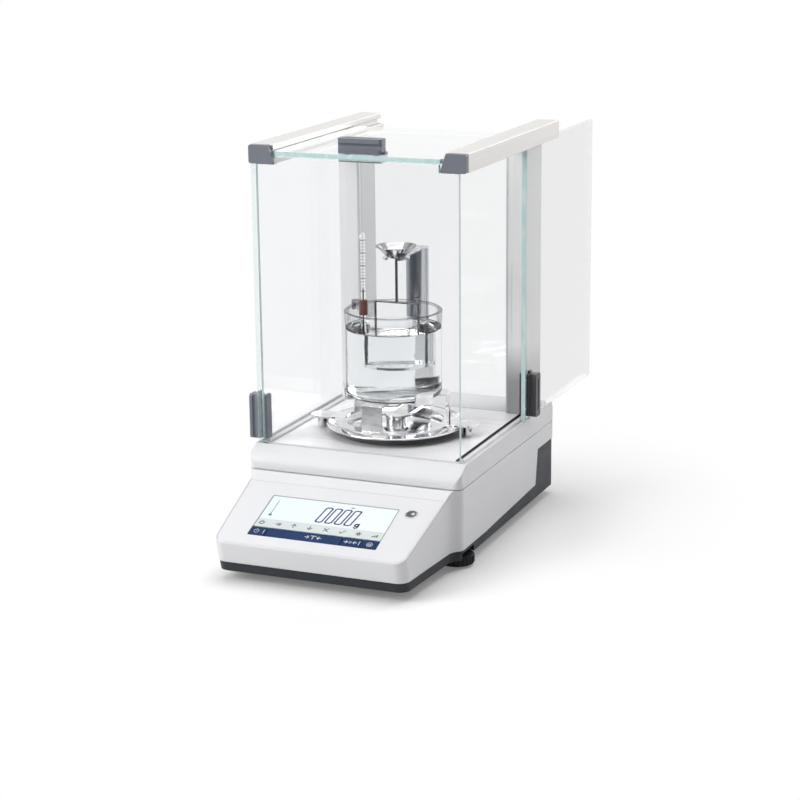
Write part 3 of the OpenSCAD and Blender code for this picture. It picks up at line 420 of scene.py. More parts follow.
@dataclass(frozen=True)
class Clear(Finish):
    """Clear glass or liquid that bends the light, with darker lines painted where it is seen edge on, as
    reflected dark surroundings.
    """

    rim: Colour
    ior: float
    edge: Point = (0.7, 1.0)
    gloss: float = 0.5
    pitch: float = 60.0
    ripples: float = 0.04

    def build(self) -> None:
        """Make the material."""
        graph = Graph(self.name)
        waves = graph.bump(graph.noise(self.pitch), self.ripples, 0.6)
        # Painted reflection: the tint darkens edge on, standing in for dark surroundings seen in the glass.
        tint = graph.mix(graph.span(graph.facing(), *self.edge), self.colour, self.rim)
        bent = graph.out("BsdfRefraction", Color=tint, Roughness=0.0, IOR=self.ior, Normal=waves)
        mirror = graph.out("BsdfGlossy", Color=ONES, Roughness=0.0, Normal=waves)
        limit = 1.0 - math.sqrt(1.0 - self.ior**-2)
        inside = graph.node("NewGeometry").outputs["Backfacing"]
        trapped = graph.times(inside, graph.span(graph.facing(), limit - 0.01, limit))
        share = graph.out("Math", trapped, graph.times(graph.shine(), self.gloss), how="MAXIMUM")
        graph.done(graph.lets_lamps_through(graph.blend(share, bent, mirror), self.colour))


@dataclass(frozen=True)
class Backlit(Finish):
    """Lit liquid-crystal face: cool white that falls off to one side, with a fine dot grid."""

    cool: Colour
    glow: float
    fall: Point = (-0.058, 0.03)
    dot: Colour = (0.55, 0.66, 0.7)

    def build(self) -> None:
        """Make the material."""
        graph = Graph(self.name)
        tone = graph.mix(graph.span(graph.along(Axis.X), *self.fall), self.cool, self.colour)
        tone = graph.mix(graph.span(graph.noise(30.0), *SOFT_CHANGE, 0.0, 0.25), tone, self.cool)
        dots = graph.node("TexChecker", Vector=graph.place(), Scale=1400.0).outputs[1]
        tone = graph.mix(graph.times(dots, 0.04), tone, self.dot)
        graph.solid(
            Base_Color=tone, Roughness=0.2, Emission_Color=tone, Emission_Strength=self.glow,
            Coat_Weight=0.4, Coat_Roughness=0.05,
        )


@dataclass(frozen=True)
class Ink(Finish):
    """Printed or switched-on mark with a slightly uneven tone."""

    drift: Colour
    roughness: float = 0.35

    def build(self) -> None:
        """Make the material."""
        graph = Graph(self.name)
        uneven = graph.noise(500.0)
        tone = graph.mix(graph.span(uneven, *CLEAR_CHANGE), self.colour, self.drift)
        rough = graph.span(uneven, *SOFT_CHANGE, self.roughness - 0.05, self.roughness + 0.1)
        graph.solid(Base_Color=tone, Roughness=rough)


@dataclass(frozen=True)
class Board(Finish):
    """Circuit board: green mask with paler tracks and solder points."""

    track: Colour

    def build(self) -> None:
        """Make the material."""
        graph = Graph(self.name)
        tracks = graph.node("TexBrick", Vector=graph.place(), Scale=90.0, Mortar_Size=0.03).outputs["Fac"]
        tone = graph.mix(tracks, self.colour, self.track)
        rough = graph.span(graph.noise(120.0), *SOFT_CHANGE, 0.25, 0.4)
        graph.solid(Base_Color=tone, Roughness=rough, Normal=graph.bump(tracks, 0.3, 0.05))


WHITE = Moulded("white_moulding", (0.80, 0.803, 0.825), (0.78, 0.783, 0.803), (0.86, 0.86, 0.88), radius=1.6)
# Panel film: its dark edge colour, broken by the scuff pattern, paints the thin line of shade in the gap
# round the film.
FILM = Moulded(
    "white_panel_film", (0.81, 0.813, 0.838), (0.79, 0.793, 0.815), (0.6, 0.61, 0.64), 0.36, 0.12, 2200.0, 0.3
)
DARK = Moulded(
    "charcoal_moulding", (0.043, 0.047, 0.056), (0.036, 0.04, 0.047), (0.1, 0.105, 0.115), 0.5, gloss=0.2
)
SLATE = Moulded(
    "slate_moulding", (0.205, 0.22, 0.26), (0.185, 0.2, 0.235), (0.34, 0.35, 0.38), 0.42, 0.2, gloss=0.35
)
# Painted shade: the right door's handle and clamp take a near-black copy of the slate, as they lie in shade.
SHADED_SLATE = Moulded(
    "shaded_slate_moulding", (0.045, 0.045, 0.051), (0.038, 0.038, 0.043), (0.12, 0.12, 0.13), 0.4, 0.2
)
RUBBER = Moulded(
    "black_rubber", (0.012, 0.012, 0.013), (0.02, 0.02, 0.021), (0.04, 0.04, 0.04), 0.7, 0.5, 800.0, gloss=0.2
)
GASKET = Moulded("pale_gasket", (0.66, 0.67, 0.68), (0.6, 0.61, 0.62), (0.75, 0.76, 0.77), 0.5, 0.3, 800.0)
RIBBED = Moulded(
    "wheel_plastic", (0.01, 0.012, 0.013), (0.007, 0.008, 0.009), (0.05, 0.05, 0.05), 0.45, gloss=0.25
)
BLUE_KEY = Moulded(
    "blue_key_film", (0.010, 0.036, 0.125), (0.008, 0.030, 0.105), (0.03, 0.07, 0.2),
    0.4, 0.08, 2000.0, 0.25, gloss=0.15,
)
CLIP_RED = Moulded("clip_plastic", (0.2, 0.07, 0.055), (0.13, 0.04, 0.035), (0.34, 0.17, 0.15), 0.3, 0.15)
RAIL = Brushed("rail_aluminium", (0.72, 0.7, 0.685), (0.66, 0.64, 0.625), Axis.Y, 0.42)
COLUMN = Brushed("column_steel", (0.95, 0.955, 0.96), (0.88, 0.885, 0.89), Axis.Z, 0.34, 0.05)
# Right column: the same steel with painted shade darkening its foot.
SHADED_COLUMN = Brushed(
    "shaded_column_steel", (0.95, 0.955, 0.96), (0.86, 0.865, 0.87), Axis.Z, 0.3, 0.1, foot=0.6
)
FLOOR_STEEL = Brushed("floor_steel", (0.95, 0.945, 0.96), (0.9, 0.895, 0.91), Axis.X, 0.3, 0.05)
KIT = Polished("kit_steel", (0.87, 0.87, 0.875), (0.64, 0.64, 0.645))
# Painted shade: the dish takes a darker copy of the kit's steel, for its underside seen in shade.
SHADED_DISH = Polished("shaded_dish_steel", (0.46, 0.46, 0.465), (0.28, 0.28, 0.285))
# Post: the dark vertical bands are painted reflections of the surroundings on the round chrome.
POST = Polished("post_chrome", (0.78, 0.79, 0.82), (0.24, 0.26, 0.31), 0.16, 150.0, (1.0, 1.0, 0.015))
# Painted shade: near-black steel for the tray's underside, where the gap under the rim lies in shade.
UNDERSIDE_SHADE = Polished("tray_underside_shade", (0.05, 0.05, 0.052), (0.025, 0.025, 0.027), 0.3)
SPINDLE = Polished("hanger_wire", (0.2, 0.2, 0.205), (0.12, 0.12, 0.125), 0.2)
MILLED = Brushed("milled_block", (0.74, 0.745, 0.75), (0.62, 0.625, 0.63), Axis.Y, 0.34, 1.0)
SCREWS = Polished("plated_screws", (0.66, 0.66, 0.64), (0.52, 0.52, 0.5), 0.2)
BRASS = Polished("turned_brass", (0.74, 0.55, 0.25), (0.6, 0.42, 0.18), 0.2)
COPPER = Brushed("wound_copper", (0.72, 0.4, 0.18), (0.5, 0.26, 0.1), Axis.Z, 0.34, 1.0)
IRON = Moulded("plated_iron", (0.11, 0.11, 0.115), (0.08, 0.08, 0.085), (0.25, 0.25, 0.25), 0.4)
GREEN_BOARD = Board("circuit_board", (0.015, 0.1, 0.04), (0.06, 0.24, 0.11))
PANE = PaneFace("pane_face", (0.994, 0.996, 0.997), (0.984, 0.987, 0.99))
REAR_PANE = PaneFace("rear_pane_face", (0.958, 0.961, 0.964), (0.958, 0.961, 0.964))
# Painted shade: the right door's pane takes a darker tint than the other panes.
SHADED_PANE = PaneFace("shaded_open_pane_face", (0.96, 0.963, 0.963), (0.888, 0.892, 0.888))
AQUA_TONES = (0.7, 0.85, 0.84), (0.52, 0.74, 0.74), (0.82, 0.85, 0.85)
AQUA = PaneEdge("pane_edge", *AQUA_TONES)
FAINT_AQUA = PaneEdge("faint_pane_edge", *AQUA_TONES, (0.72, 0.85))
BEAKER = Clear("blown_glass", (0.99, 0.994, 0.995), (0.5, 0.52, 0.53), 1.47, (0.8, 1.0))
# Beaker wall above the water and its bead: grey tints that paint the dark lines of reflected surroundings.
DRY_WALL = PaneFace("clear_wall", (0.99, 0.993, 0.994), (0.55, 0.56, 0.57), 0.6, (0.6, 1.0))
BEAD = PaneFace("beaded_rim", (0.8, 0.81, 0.815), (0.5, 0.51, 0.52), 0.5)
STEM = Clear("thermometer_glass", (0.96, 0.97, 0.972), (0.3, 0.31, 0.32), 1.47, (0.5, 0.98))
WATER = Clear("water", (0.99, 0.994, 0.997), (0.7, 0.73, 0.74), 1.33, (0.85, 1.0), 0.4, 170.0, 0.2)
VIAL = Moulded(
    "vial_fluid", (0.13, 0.137, 0.142), (0.1, 0.106, 0.11), (0.2, 0.21, 0.215), 0.2, 0.05, gloss=0.25
)
# Level bubble: a real bubble, whose pale tone is a painted highlight.
BUBBLE_AND_HIGHLIGHT = Ink("level_bubble", (0.6, 0.62, 0.63), (0.74, 0.76, 0.77), 0.12)
DISPLAY = Backlit("display_face", (0.9, 0.96, 0.985), (0.8, 0.91, 0.94), 0.04)
ICON_BAND = Backlit("icon_band", (0.7, 0.76, 0.76), (0.66, 0.72, 0.72), 0.02)
DIGITS = Ink("digit_segments", (0.024, 0.014, 0.13), (0.036, 0.024, 0.17))
ICONS = Ink("icon_marks", (0.06, 0.066, 0.08), (0.1, 0.106, 0.12))
PRINT = Ink("key_print", (0.7, 0.75, 0.85), (0.78, 0.82, 0.9))
MARKS = Ink("scale_marks", (0.22, 0.22, 0.23), (0.3, 0.3, 0.31))
THREAD = Ink("thermometer_thread", (0.25, 0.05, 0.05), (0.2, 0.04, 0.04))
# Display frame: a printed grey line, drawn darker as painted shade of the recess.
FRAME_LINE_AND_SHADE = Ink("display_frame_and_shade", (0.24, 0.26, 0.29), (0.32, 0.34, 0.37))


def arc(centre: Point, radius: float, start: float, end: float, steps: int = 8) -> list[Point]:
    """Give the points of an arc of so many chords, between two angles in degrees."""
    turns = (math.radians(start + (end - start) * i / steps) for i in range(steps + 1))
    return [(centre[0] + radius * math.cos(a), centre[1] + radius * math.sin(a)) for a in turns]


def eased(points: Sequence[Point], rounds: int = 2) -> list[Point]:
    """Round the corners of an open outline by cutting them repeatedly.

    Args:
        points: The outline's corners.
        rounds: How often corners are cut.

    Returns:
        The rounded outline, with its two ends kept.
    """
    line = [Vector(p) for p in points]
    for _ in range(rounds):
        cut = [line[0]]
        for a, b in zip(line, line[1:]):
            cut += [a.lerp(b, 0.25), a.lerp(b, 0.75)]
        line = [*cut, line[-1]]
    return [(p.x, p.y) for p in line]


def lathe(
    profile: Sequence[Point], foot: Point3, steps: int = 96, slot: Callable[[float, float], int] | None = None
) -> Mesh:
    """Turn a closed outline round an upright axis.

    Args:
        profile: Corners as radius and height in millimetres.
        foot: Foot of the axis in millimetres.
        steps: Facets round the axis.
        slot: Gives the number of the finish of a face at a radius and height.

    Returns:
        The new mesh.
    """
    form = bmesh.new()
    rings = []
    for r, z in profile:
        turns = [math.tau * i / steps for i in range(steps if r > ON_AXIS else 1)]
        spots = [(foot[0] + r * math.cos(a), foot[1] + r * math.sin(a), foot[2] + z) for a in turns]
        rings.append([form.verts.new([c * MM for c in spot]) for spot in spots])
    for index, (low, high) in enumerate(zip(rings, rings[1:] + rings[:1])):
        if len(low) == len(high) == 1:
            continue
        ends = zip(profile[index], profile[(index + 1) % len(profile)])
        middle = [(a + b) / 2 for a, b in ends]
        for i in range(steps):
            j = (i + 1) % steps
            corners = [low[i % len(low)], low[j % len(low)], high[j % len(high)], high[i % len(high)]]
            face = form.faces.new(list(dict.fromkeys(corners)))
            face.material_index = int(slot(*middle)) if slot else 0
    bmesh.ops.recalc_face_normals(form, faces=form.faces)
    return mesh_of(form)


def mesh_of(form: bmesh.types.BMesh) -> Mesh:
    """Turn a form into a mesh with smooth shading.

    Args:
        form: The form, which is freed.

    Returns:
        The new mesh.
    """
    mesh = bpy.data.meshes.new("piece")
    form.to_mesh(mesh)
    form.free()
    mesh.polygons.foreach_set("use_smooth", [True] * len(mesh.polygons))
    mesh.set_sharp_from_angle(angle=SMOOTH_ANGLE)
    return mesh


def placed(name: str, data: bpy.types.ID) -> bpy.types.Object:
    """Put a new object with this data in the scene."""
    bpy.context.scene.collection.objects.link(made := bpy.data.objects.new(name, data))
    return made


@dataclass
class Drawing:
    """Flat marks on the panel, with x across and s down the slope, as one thin piece."""

    width: float
    low: float
    high: float
    origin: Point = (0.0, 0.0)
    head: float = 0.45
    form: bmesh.types.BMesh = field(default_factory=bmesh.new)

    def area(self, outline: Sequence[Point]) -> None:
        """Add a filled convex area.

        Args:
            outline: Corners as x and s from the origin.
        """
        x0, s0 = self.origin
        spots = [(x0 + x, -s0 - s) for x, s in outline]
        rings = [[self.form.verts.new((*spot, h)) for spot in spots] for h in (self.low, self.high)]
        count = len(outline)
        self.form.faces.new(rings[1])
        self.form.faces.new(rings[0][::-1])
        for i in range(count):
            j = (i + 1) % count
            self.form.faces.new((rings[0][i], rings[0][j], rings[1][j], rings[1][i]))

    def line(self, points: Sequence[Point], closed: bool = False, width: float = 0.0) -> None:
        """Add a line of the drawing's width.

        Args:
            points: Corners as x and s from the origin.
            closed: Whether the last corner joins the first.
            width: Another width for this line.
        """
        half = (width or self.width) / 2
        ends = [Vector(p) for p in points]
        if closed:
            ends.append(ends[0])
        for a, b in zip(ends, ends[1:]):
            along = (b - a).normalized() * half
            side = Vector((-along.y, along.x))
            self.area([a - along - side, b + along - side, b + along + side, a - along + side])

    def ring(self, centre: Point, radius: float, gap: float = 0.0, steps: int = 20) -> None:
        """Add a ring of so many chords, open at the top by gap degrees."""
        self.line(arc(centre, radius, -90 + gap / 2, 270 - gap / 2, steps))

    def arrow(self, tip: Point, way: Point, length: float) -> None:
        """Add an arrow.

        Args:
            tip: Place of its point.
            way: Direction that it points in.
            length: Length of its shaft.
        """
        end, ahead = Vector(tip), Vector(way).normalized()
        side = Vector((-ahead.y, ahead.x))
        head = length * self.head
        self.line([end - ahead * length, end])
        self.line([end + (side - ahead) * head, end, end - (side + ahead) * head])

    def mesh(self) -> Mesh:
        """Lay the marks on the panel.

        Returns:
            The new mesh.
        """
        bmesh.ops.transform(self.form, matrix=PANEL, verts=self.form.verts)
        bmesh.ops.recalc_face_normals(self.form, faces=self.form.faces)
        return mesh_of(self.form)


def rim_of(thin: Axis) -> Callable[[Face], bool]:
    """Give a test for the narrow faces of a pane that is thin in one direction, without the lower ones."""
    return lambda face: abs(face.normal[thin.value]) < 0.9 and face.normal.z > -0.3


class Workshop:
    """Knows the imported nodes, dresses them and puts new pieces on their bodies."""

    def __init__(self, packed: dict[str, Any]) -> None:
        """Read which body and slot each node has.
        """
        record = packed["record"]
        self.nodes = packed["nodes"]
        self.slots = {part["node"]: part["material_slot"] for part in record["subparts"]}
        self.bodies = {
            node: body for body, members in record["behaviour"]["bodies"].items() for node in members
        }

    def dress(self, finish: Finish, *names: str) -> None:
        """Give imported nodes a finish.

        Args:
            finish: The finish.
            names: The nodes.
        """
        for name in names:
            for slot in self.nodes[name].material_slots:
                slot.material = finish.material()
            LOG.info("%s: %s", name, finish.name)

    def add(self, name: str, mesh: Mesh, like: str, *finishes: Finish) -> bpy.types.Object:
        """Add a piece that moves with a node's body.

        Args:
            name: Name of the piece.
            mesh: Its mesh, in the shared frame.
            like: Node that gives the body.
            finishes: One finish for each of the mesh's slots.

        Returns:
            The new piece.
        """
        mesh.name = name
        piece = placed(name, mesh)
        for finish in finishes:
            mesh.materials.append(finish.material())
        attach(piece, self.bodies[like])
        LOG.info("%s: %d faces", name, len(mesh.polygons))
        return piece

    def stand_in(self, node: str, mesh: Mesh, *finishes: Finish) -> bpy.types.Object:
        """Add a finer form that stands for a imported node."""
        piece = self.add(f"{node}_form", mesh, node, *finishes)
        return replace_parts(piece, node)

    def soften(
        self, node: str, radius: float, *finishes: Finish, steps: int = 2,
        second: Callable[[Face], bool] | None = None,
        pick: Callable[[bmesh.types.BMEdge], bool] | None = None,
        bend: Callable[[Vector], Vector] | None = None,
    ) -> bpy.types.Object:
        """Stand in for a node with a copy whose sharp outer edges are rounded.

        Args:
            node: The node.
            radius: Radius of the rounding in millimetres.
            finishes: One or two finishes.
            steps: Facets of the rounding.
            second: Says whether a face takes the second finish.
            pick: Says whether an edge is rounded.
            bend: Gives a corner's new place, in millimetres.

        Returns:
            The new piece.
        """
        form = bmesh.new()
        form.from_mesh(self.nodes[node].data)
        bmesh.ops.remove_doubles(form, verts=form.verts, dist=WELD)
        for corner in form.verts if bend else ():
            corner.co = bend(corner.co / MM) * MM
        bmesh.ops.dissolve_limit(form, angle_limit=FLAT_ANGLE, verts=form.verts, edges=form.edges)
        form.normal_update()
        sharp = [
            e for e in form.edges
            if len(e.link_faces) == 2 and e.is_convex and e.calc_face_angle(0.0) > SHARP_ANGLE
            and (pick is None or pick(e))
        ]
        bmesh.ops.bevel(
            form, geom=sharp, offset=radius * MM, offset_type="OFFSET", segments=steps, profile=0.5,
            affect="EDGES", clamp_overlap=True,
        )
        for face in form.faces if second else ():
            face.material_index = int(second(face))
        piece = self.stand_in(node, mesh_of(form), *finishes)
        piece.modifiers.new("even_normals", "WEIGHTED_NORMAL").keep_sharp = True
        return piece


@dataclass
class Housing:
    """White shells, dark base and rear cover, with their screws."""

    shop: Workshop
    nose_y: float = -190.0
    nose_z: float = 35.5
    corner: float = 10.0
    lean: float = 0.26
    nose_edge: float = 1.2
    nose_near: float = 4.0
    base_edge: float = 0.5

    def leaning(self, place: Vector) -> Vector:
        """Give a corner's place with the nose's front face leaning in below the panel."""
        ahead = min(max((self.nose_y + 2 * self.corner - place.y) / self.corner, 0.0), 1.0)
        return place + Vector((0.0, ahead * self.lean * max(self.nose_z - place.z, 0.0), 0.0))

    def nose_top(self, edge: bmesh.types.BMEdge) -> bool:
        """Say whether an edge lies round the outside of the panel's slope in front.

        Args:
            edge: The edge.

        Returns:
            Whether it is rounded.
        """
        middle = (edge.verts[0].co + edge.verts[1].co) / (2 * MM)
        wall = min(edge.link_faces, key=lambda face: face.normal.z)
        outside = wall.normal.dot(middle - Vector((0.0, self.nose_y / 2, middle.z))) > 0
        near = abs(middle.z - self.nose_z) < self.nose_near
        return outside and near and middle.y < self.nose_y + self.corner

    def build(self) -> None:
        """Build the shells and dress their fasteners."""
        shop = self.shop
        shop.soften("lower_housing", self.nose_edge, WHITE, steps=3, pick=self.nose_top, bend=self.leaning)
        shop.soften("base_pan", self.base_edge, DARK, pick=self.nose_top, bend=self.leaning)
        shop.dress(WHITE, "upper_housing", "sill_stops")
        shop.dress(DARK, "rear_cover")
        shop.dress(SCREWS, "base_screws", "cell_screws")
        shop.dress(RUBBER, "dc_inlet")
        shop.dress(KIT, "serial_port")


@dataclass
class ControlNose:
    """Panel film, display with its marks, key row and bubble level."""

    shop: Workshop
    display_low: float = -0.2
    ink: float = 0.06
    digit_size: Point = (5.6, 19.5)
    digit_pitch: float = 8.5
    digit_start: Point = (-9.2, 46.5)
    digit_count: int = 4
    digit_cut: float = 1.2
    unit: Point = (2.8, -1.0)
    slant: float = 0.17
    band: Point = (50.0, 60.8)
    sides: Point = (-58.4, 55.0)
    frame_top: float = 18.9
    frame_inset: float = 0.2
    icon_start: float = -53.0
    icon_pitch: float = 14.4
    load_bar: Point = (-50.5, 45.0)
    key_row: float = 67.2
    key_marks_x: tuple[float, ...] = (-52.5, -2.0, 31.0, 47.8)
    level: Point = (67.0, 22.9)
    bubble_r: float = 1.6
    bubble_at: Point3 = (1.4, 0.6, 0.0)

    def digits(self) -> None:
        """Draw the reading, its unit and the short bar above it."""
        drawing = Drawing(1.35, self.display_low, self.display_low + self.ink)
        drawing.line([(14.5, 23.6), (17.0, 23.6)], width=0.9)
        (wide, tall), cut = self.digit_size, self.digit_cut
        corners = [
            (cut, 0), (wide - cut, 0), (wide, cut), (wide, tall - cut),
            (wide - cut, tall), (cut, tall), (0, tall - cut), (0, cut),
        ]
        x, s = self.digit_start
        for i in range(self.digit_count):
            drawing.origin = (x + i * self.digit_pitch, s)
            drawing.line([(a + b * self.slant, -b) for a, b in corners], True)
        drawing.origin = (x + self.digit_count * self.digit_pitch + self.unit[0], s + self.unit[1])
        drawing.ring((0, -0.4), 1.5)
        drawing.line([(1.7, -2.0), (1.3, 2.6), (-0.2, 3.4), (-1.5, 2.8)])
        self.shop.add("display_digits", drawing.mesh(), "display_module", DIGITS)

    def icons(self) -> None:
        """Draw the grey icon band, its eight icons, the load bar and the display's frame, darkened with
        painted recess shade.
        """
        (x0, x1), (s0, s1) = self.sides, self.band
        low, high = self.display_low, self.display_low + self.ink
        band = Drawing(0.4, low, low + self.ink / 2)
        band.area([(x0, s0), (x1, s0), (x1, s1), (x0, s1)])
        self.shop.add("icon_band", band.mesh(), "display_module", ICON_BAND)
        marks = Drawing(0.8, low, high)
        places = [(self.icon_start + i * self.icon_pitch, (s0 + s1) / 2) for i in range(8)]
        power, send, up, down, cross, tick, sun, steps = places
        marks.origin = power
        marks.ring((0, 0), 1.9, 70)
        marks.line([(0, -2.4), (0, -0.4)])
        marks.origin = send
        marks.arrow((1.6, 0), (1, 0), 3.4)
        marks.line([(2.4, -1.7), (2.4, 1.7)])
        for marks.origin, way in ((up, -1), (down, 1)):
            marks.arrow((0, 2.2 * way), (0, way), 4.4)
        marks.origin = cross
        for turn in (-1.9, 1.9):
            marks.line([(-2.0, -turn), (2.0, turn)])
        marks.origin = tick
        marks.line([(-2.3, 0.2), (-0.7, 1.9), (2.5, -2.0)])
        marks.origin = sun
        marks.ring((0, 0), 1.0, steps=12)
        for i in range(8):
            marks.line([arc((0, 0), r, 45 * i, 45 * i, 1)[0] for r in (1.7, 2.5)], width=0.5)
        marks.origin = steps
        for i in range(3):
            left, top = 1.9 * i - 2.6, 0.6 - i
            marks.area([(left, 1.8), (left + 1.4, 1.8), (left + 1.4, top), (left, top)])
        marks.origin = self.load_bar
        marks.line([(0, -20.0), (0, 0)], width=0.5)
        marks.line([(-1.3, 0), (1.3, 0)])
        marks.arrow((0, -0.6), (0, 1), 1.6)
        self.shop.add("display_icons", marks.mesh(), "display_module", ICONS)
        # The frame line's dark tone is partly painted shade of the display's recess.
        edge = Drawing(0.9, low, high)
        left, right = x0 + self.frame_inset, x1 - self.frame_inset
        edge.line([(left, s1), (left, self.frame_top), (right, self.frame_top), (right, s1)])
        self.shop.add("display_frame_and_shade", edge.mesh(), "display_module", FRAME_LINE_AND_SHADE)

    def key_marks(self) -> None:
        """Draw the symbols on the four keys."""
        power, tare, zero, prints = (
            Drawing(width, 0.0, self.ink, (x, self.key_row))
            for width, x in zip((0.5, 0.6, 0.6, 0.5), self.key_marks_x)
        )
        power.ring((0, 0), 2.1, 70)
        power.line([(0, -2.7), (0, -0.4)])
        power.line([(6.5, -2.2), (6.5, 2.2)])
        tare.line([(-2.4, -2.0), (2.4, -2.0)])
        tare.line([(0, -2.0), (0, 2.2)])
        zero.line(arc((0, 0), 1.0, 0, 330, 11), True)
        zero.line([(7.8, -2.2), (7.8, 2.2)])
        for way in (1, -1):
            tare.arrow((-3.6 * way, 0), (way, 0), 3.4)
            zero.arrow((-2.4 * way, 0), (way, 0), 3.2)
        prints.ring((0, 0), 2.4)
        prints.line([(-1.2, 0.9), (1.2, 0.9), (1.2, -0.6), (-1.2, -0.6)], True)
        for key, drawing in (("on_off", power), ("tare", tare), ("zero", zero), ("print", prints)):
            self.shop.add(f"{key}_mark", drawing.mesh(), f"{key}_key", PRINT)

    def bubble(self) -> None:
        """Set a bubble on the level's vial."""
        (x, s), r = self.level, self.bubble_r
        dome = [(0.0, 0.0), (r, 0.0), (r, 0.1), (r * 0.8, 0.25), (r * 0.4, 0.35), (0.0, 0.38)]
        mesh = lathe(dome, self.bubble_at, 32)
        mesh.transform(Matrix.Translation(PANEL @ Vector((x, -s, 0.0))) @ PANEL_TILT)
        self.shop.add("level_bubble", mesh, "level_vial", BUBBLE_AND_HIGHLIGHT)

    def build(self) -> None:
        """Dress the nose."""
        shop = self.shop
        shop.dress(FILM, "control_panel")
        shop.dress(DISPLAY, "display_module")
        shop.dress(BLUE_KEY, "on_off_key", "tare_key", "zero_key", "print_key")
        shop.dress(SCREWS, "level_housing")
        shop.dress(VIAL, "level_vial")
        self.digits()
        self.icons()
        self.key_marks()
        self.bubble()


@dataclass
class DraftShield:
    """Fixed glass, columns, rails, caps, chamber floor and seals."""

    shop: Workshop
    pane_edge: float = 0.35
    cap_edge: float = 1.3
    rail_edge: float = 0.4
    seal_edge: float = 0.15

    def build(self) -> None:
        """Build the panes with their edges and dress the metal."""
        shop = self.shop
        for node, pane in (("front_glass", PANE), ("rear_glass", REAR_PANE)):
            shop.soften(node, self.pane_edge, pane, AQUA, second=rim_of(Axis.Y))
        for side, column in (("left", COLUMN), ("right", SHADED_COLUMN)):
            shop.soften(f"{side}_rail_cap", self.cap_edge, SLATE, steps=3)
            shop.soften(f"{side}_rail", self.rail_edge, RAIL)
            shop.soften(f"{side}_column", self.rail_edge, column)
        shop.dress(FLOOR_STEEL, "floor_plate")
        shop.soften(
            "sill_seals", self.seal_edge, RUBBER, GASKET, second=lambda face: face.calc_center_median().x < 0
        )
        shop.dress(GASKET, "column_seals")


@dataclass
class Doors:
    """Three sliding doors, each with glass, handle and clamp plate."""

    shop: Workshop
    pane_edge: float = 0.35
    handle_edge: float = 0.9
    clamp_edge: float = 0.6

    def build(self) -> None:
        """Build the doors' panes, handles and clamps."""
        for door, thin, pane, edge, finish in (
            ("left", Axis.X, PANE, FAINT_AQUA, SLATE),
            # The right door's handle and clamp use the shaded slate copy: painted shade.
            ("right", Axis.X, SHADED_PANE, AQUA, SHADED_SLATE),
            ("top", Axis.Z, PANE, AQUA, SLATE),
        ):
            self.shop.soften(f"{door}_door_glass", self.pane_edge, pane, edge, second=rim_of(thin))
            self.shop.soften(f"{door}_door_handle", self.handle_edge, finish)
            self.shop.soften(f"{door}_door_clamp", self.clamp_edge, finish)


@dataclass
class Feet:
    """Levelling wheels on their pads, fixed rear feet and bushes."""

    shop: Workshop

    def build(self) -> None:
        """Dress the feet."""
        self.shop.dress(RIBBED, "left_foot_wheel", "right_foot_wheel")
        self.shop.dress(RUBBER, "left_foot_pad", "right_foot_pad", "rear_feet")
        self.shop.dress(BRASS, "foot_bushes")


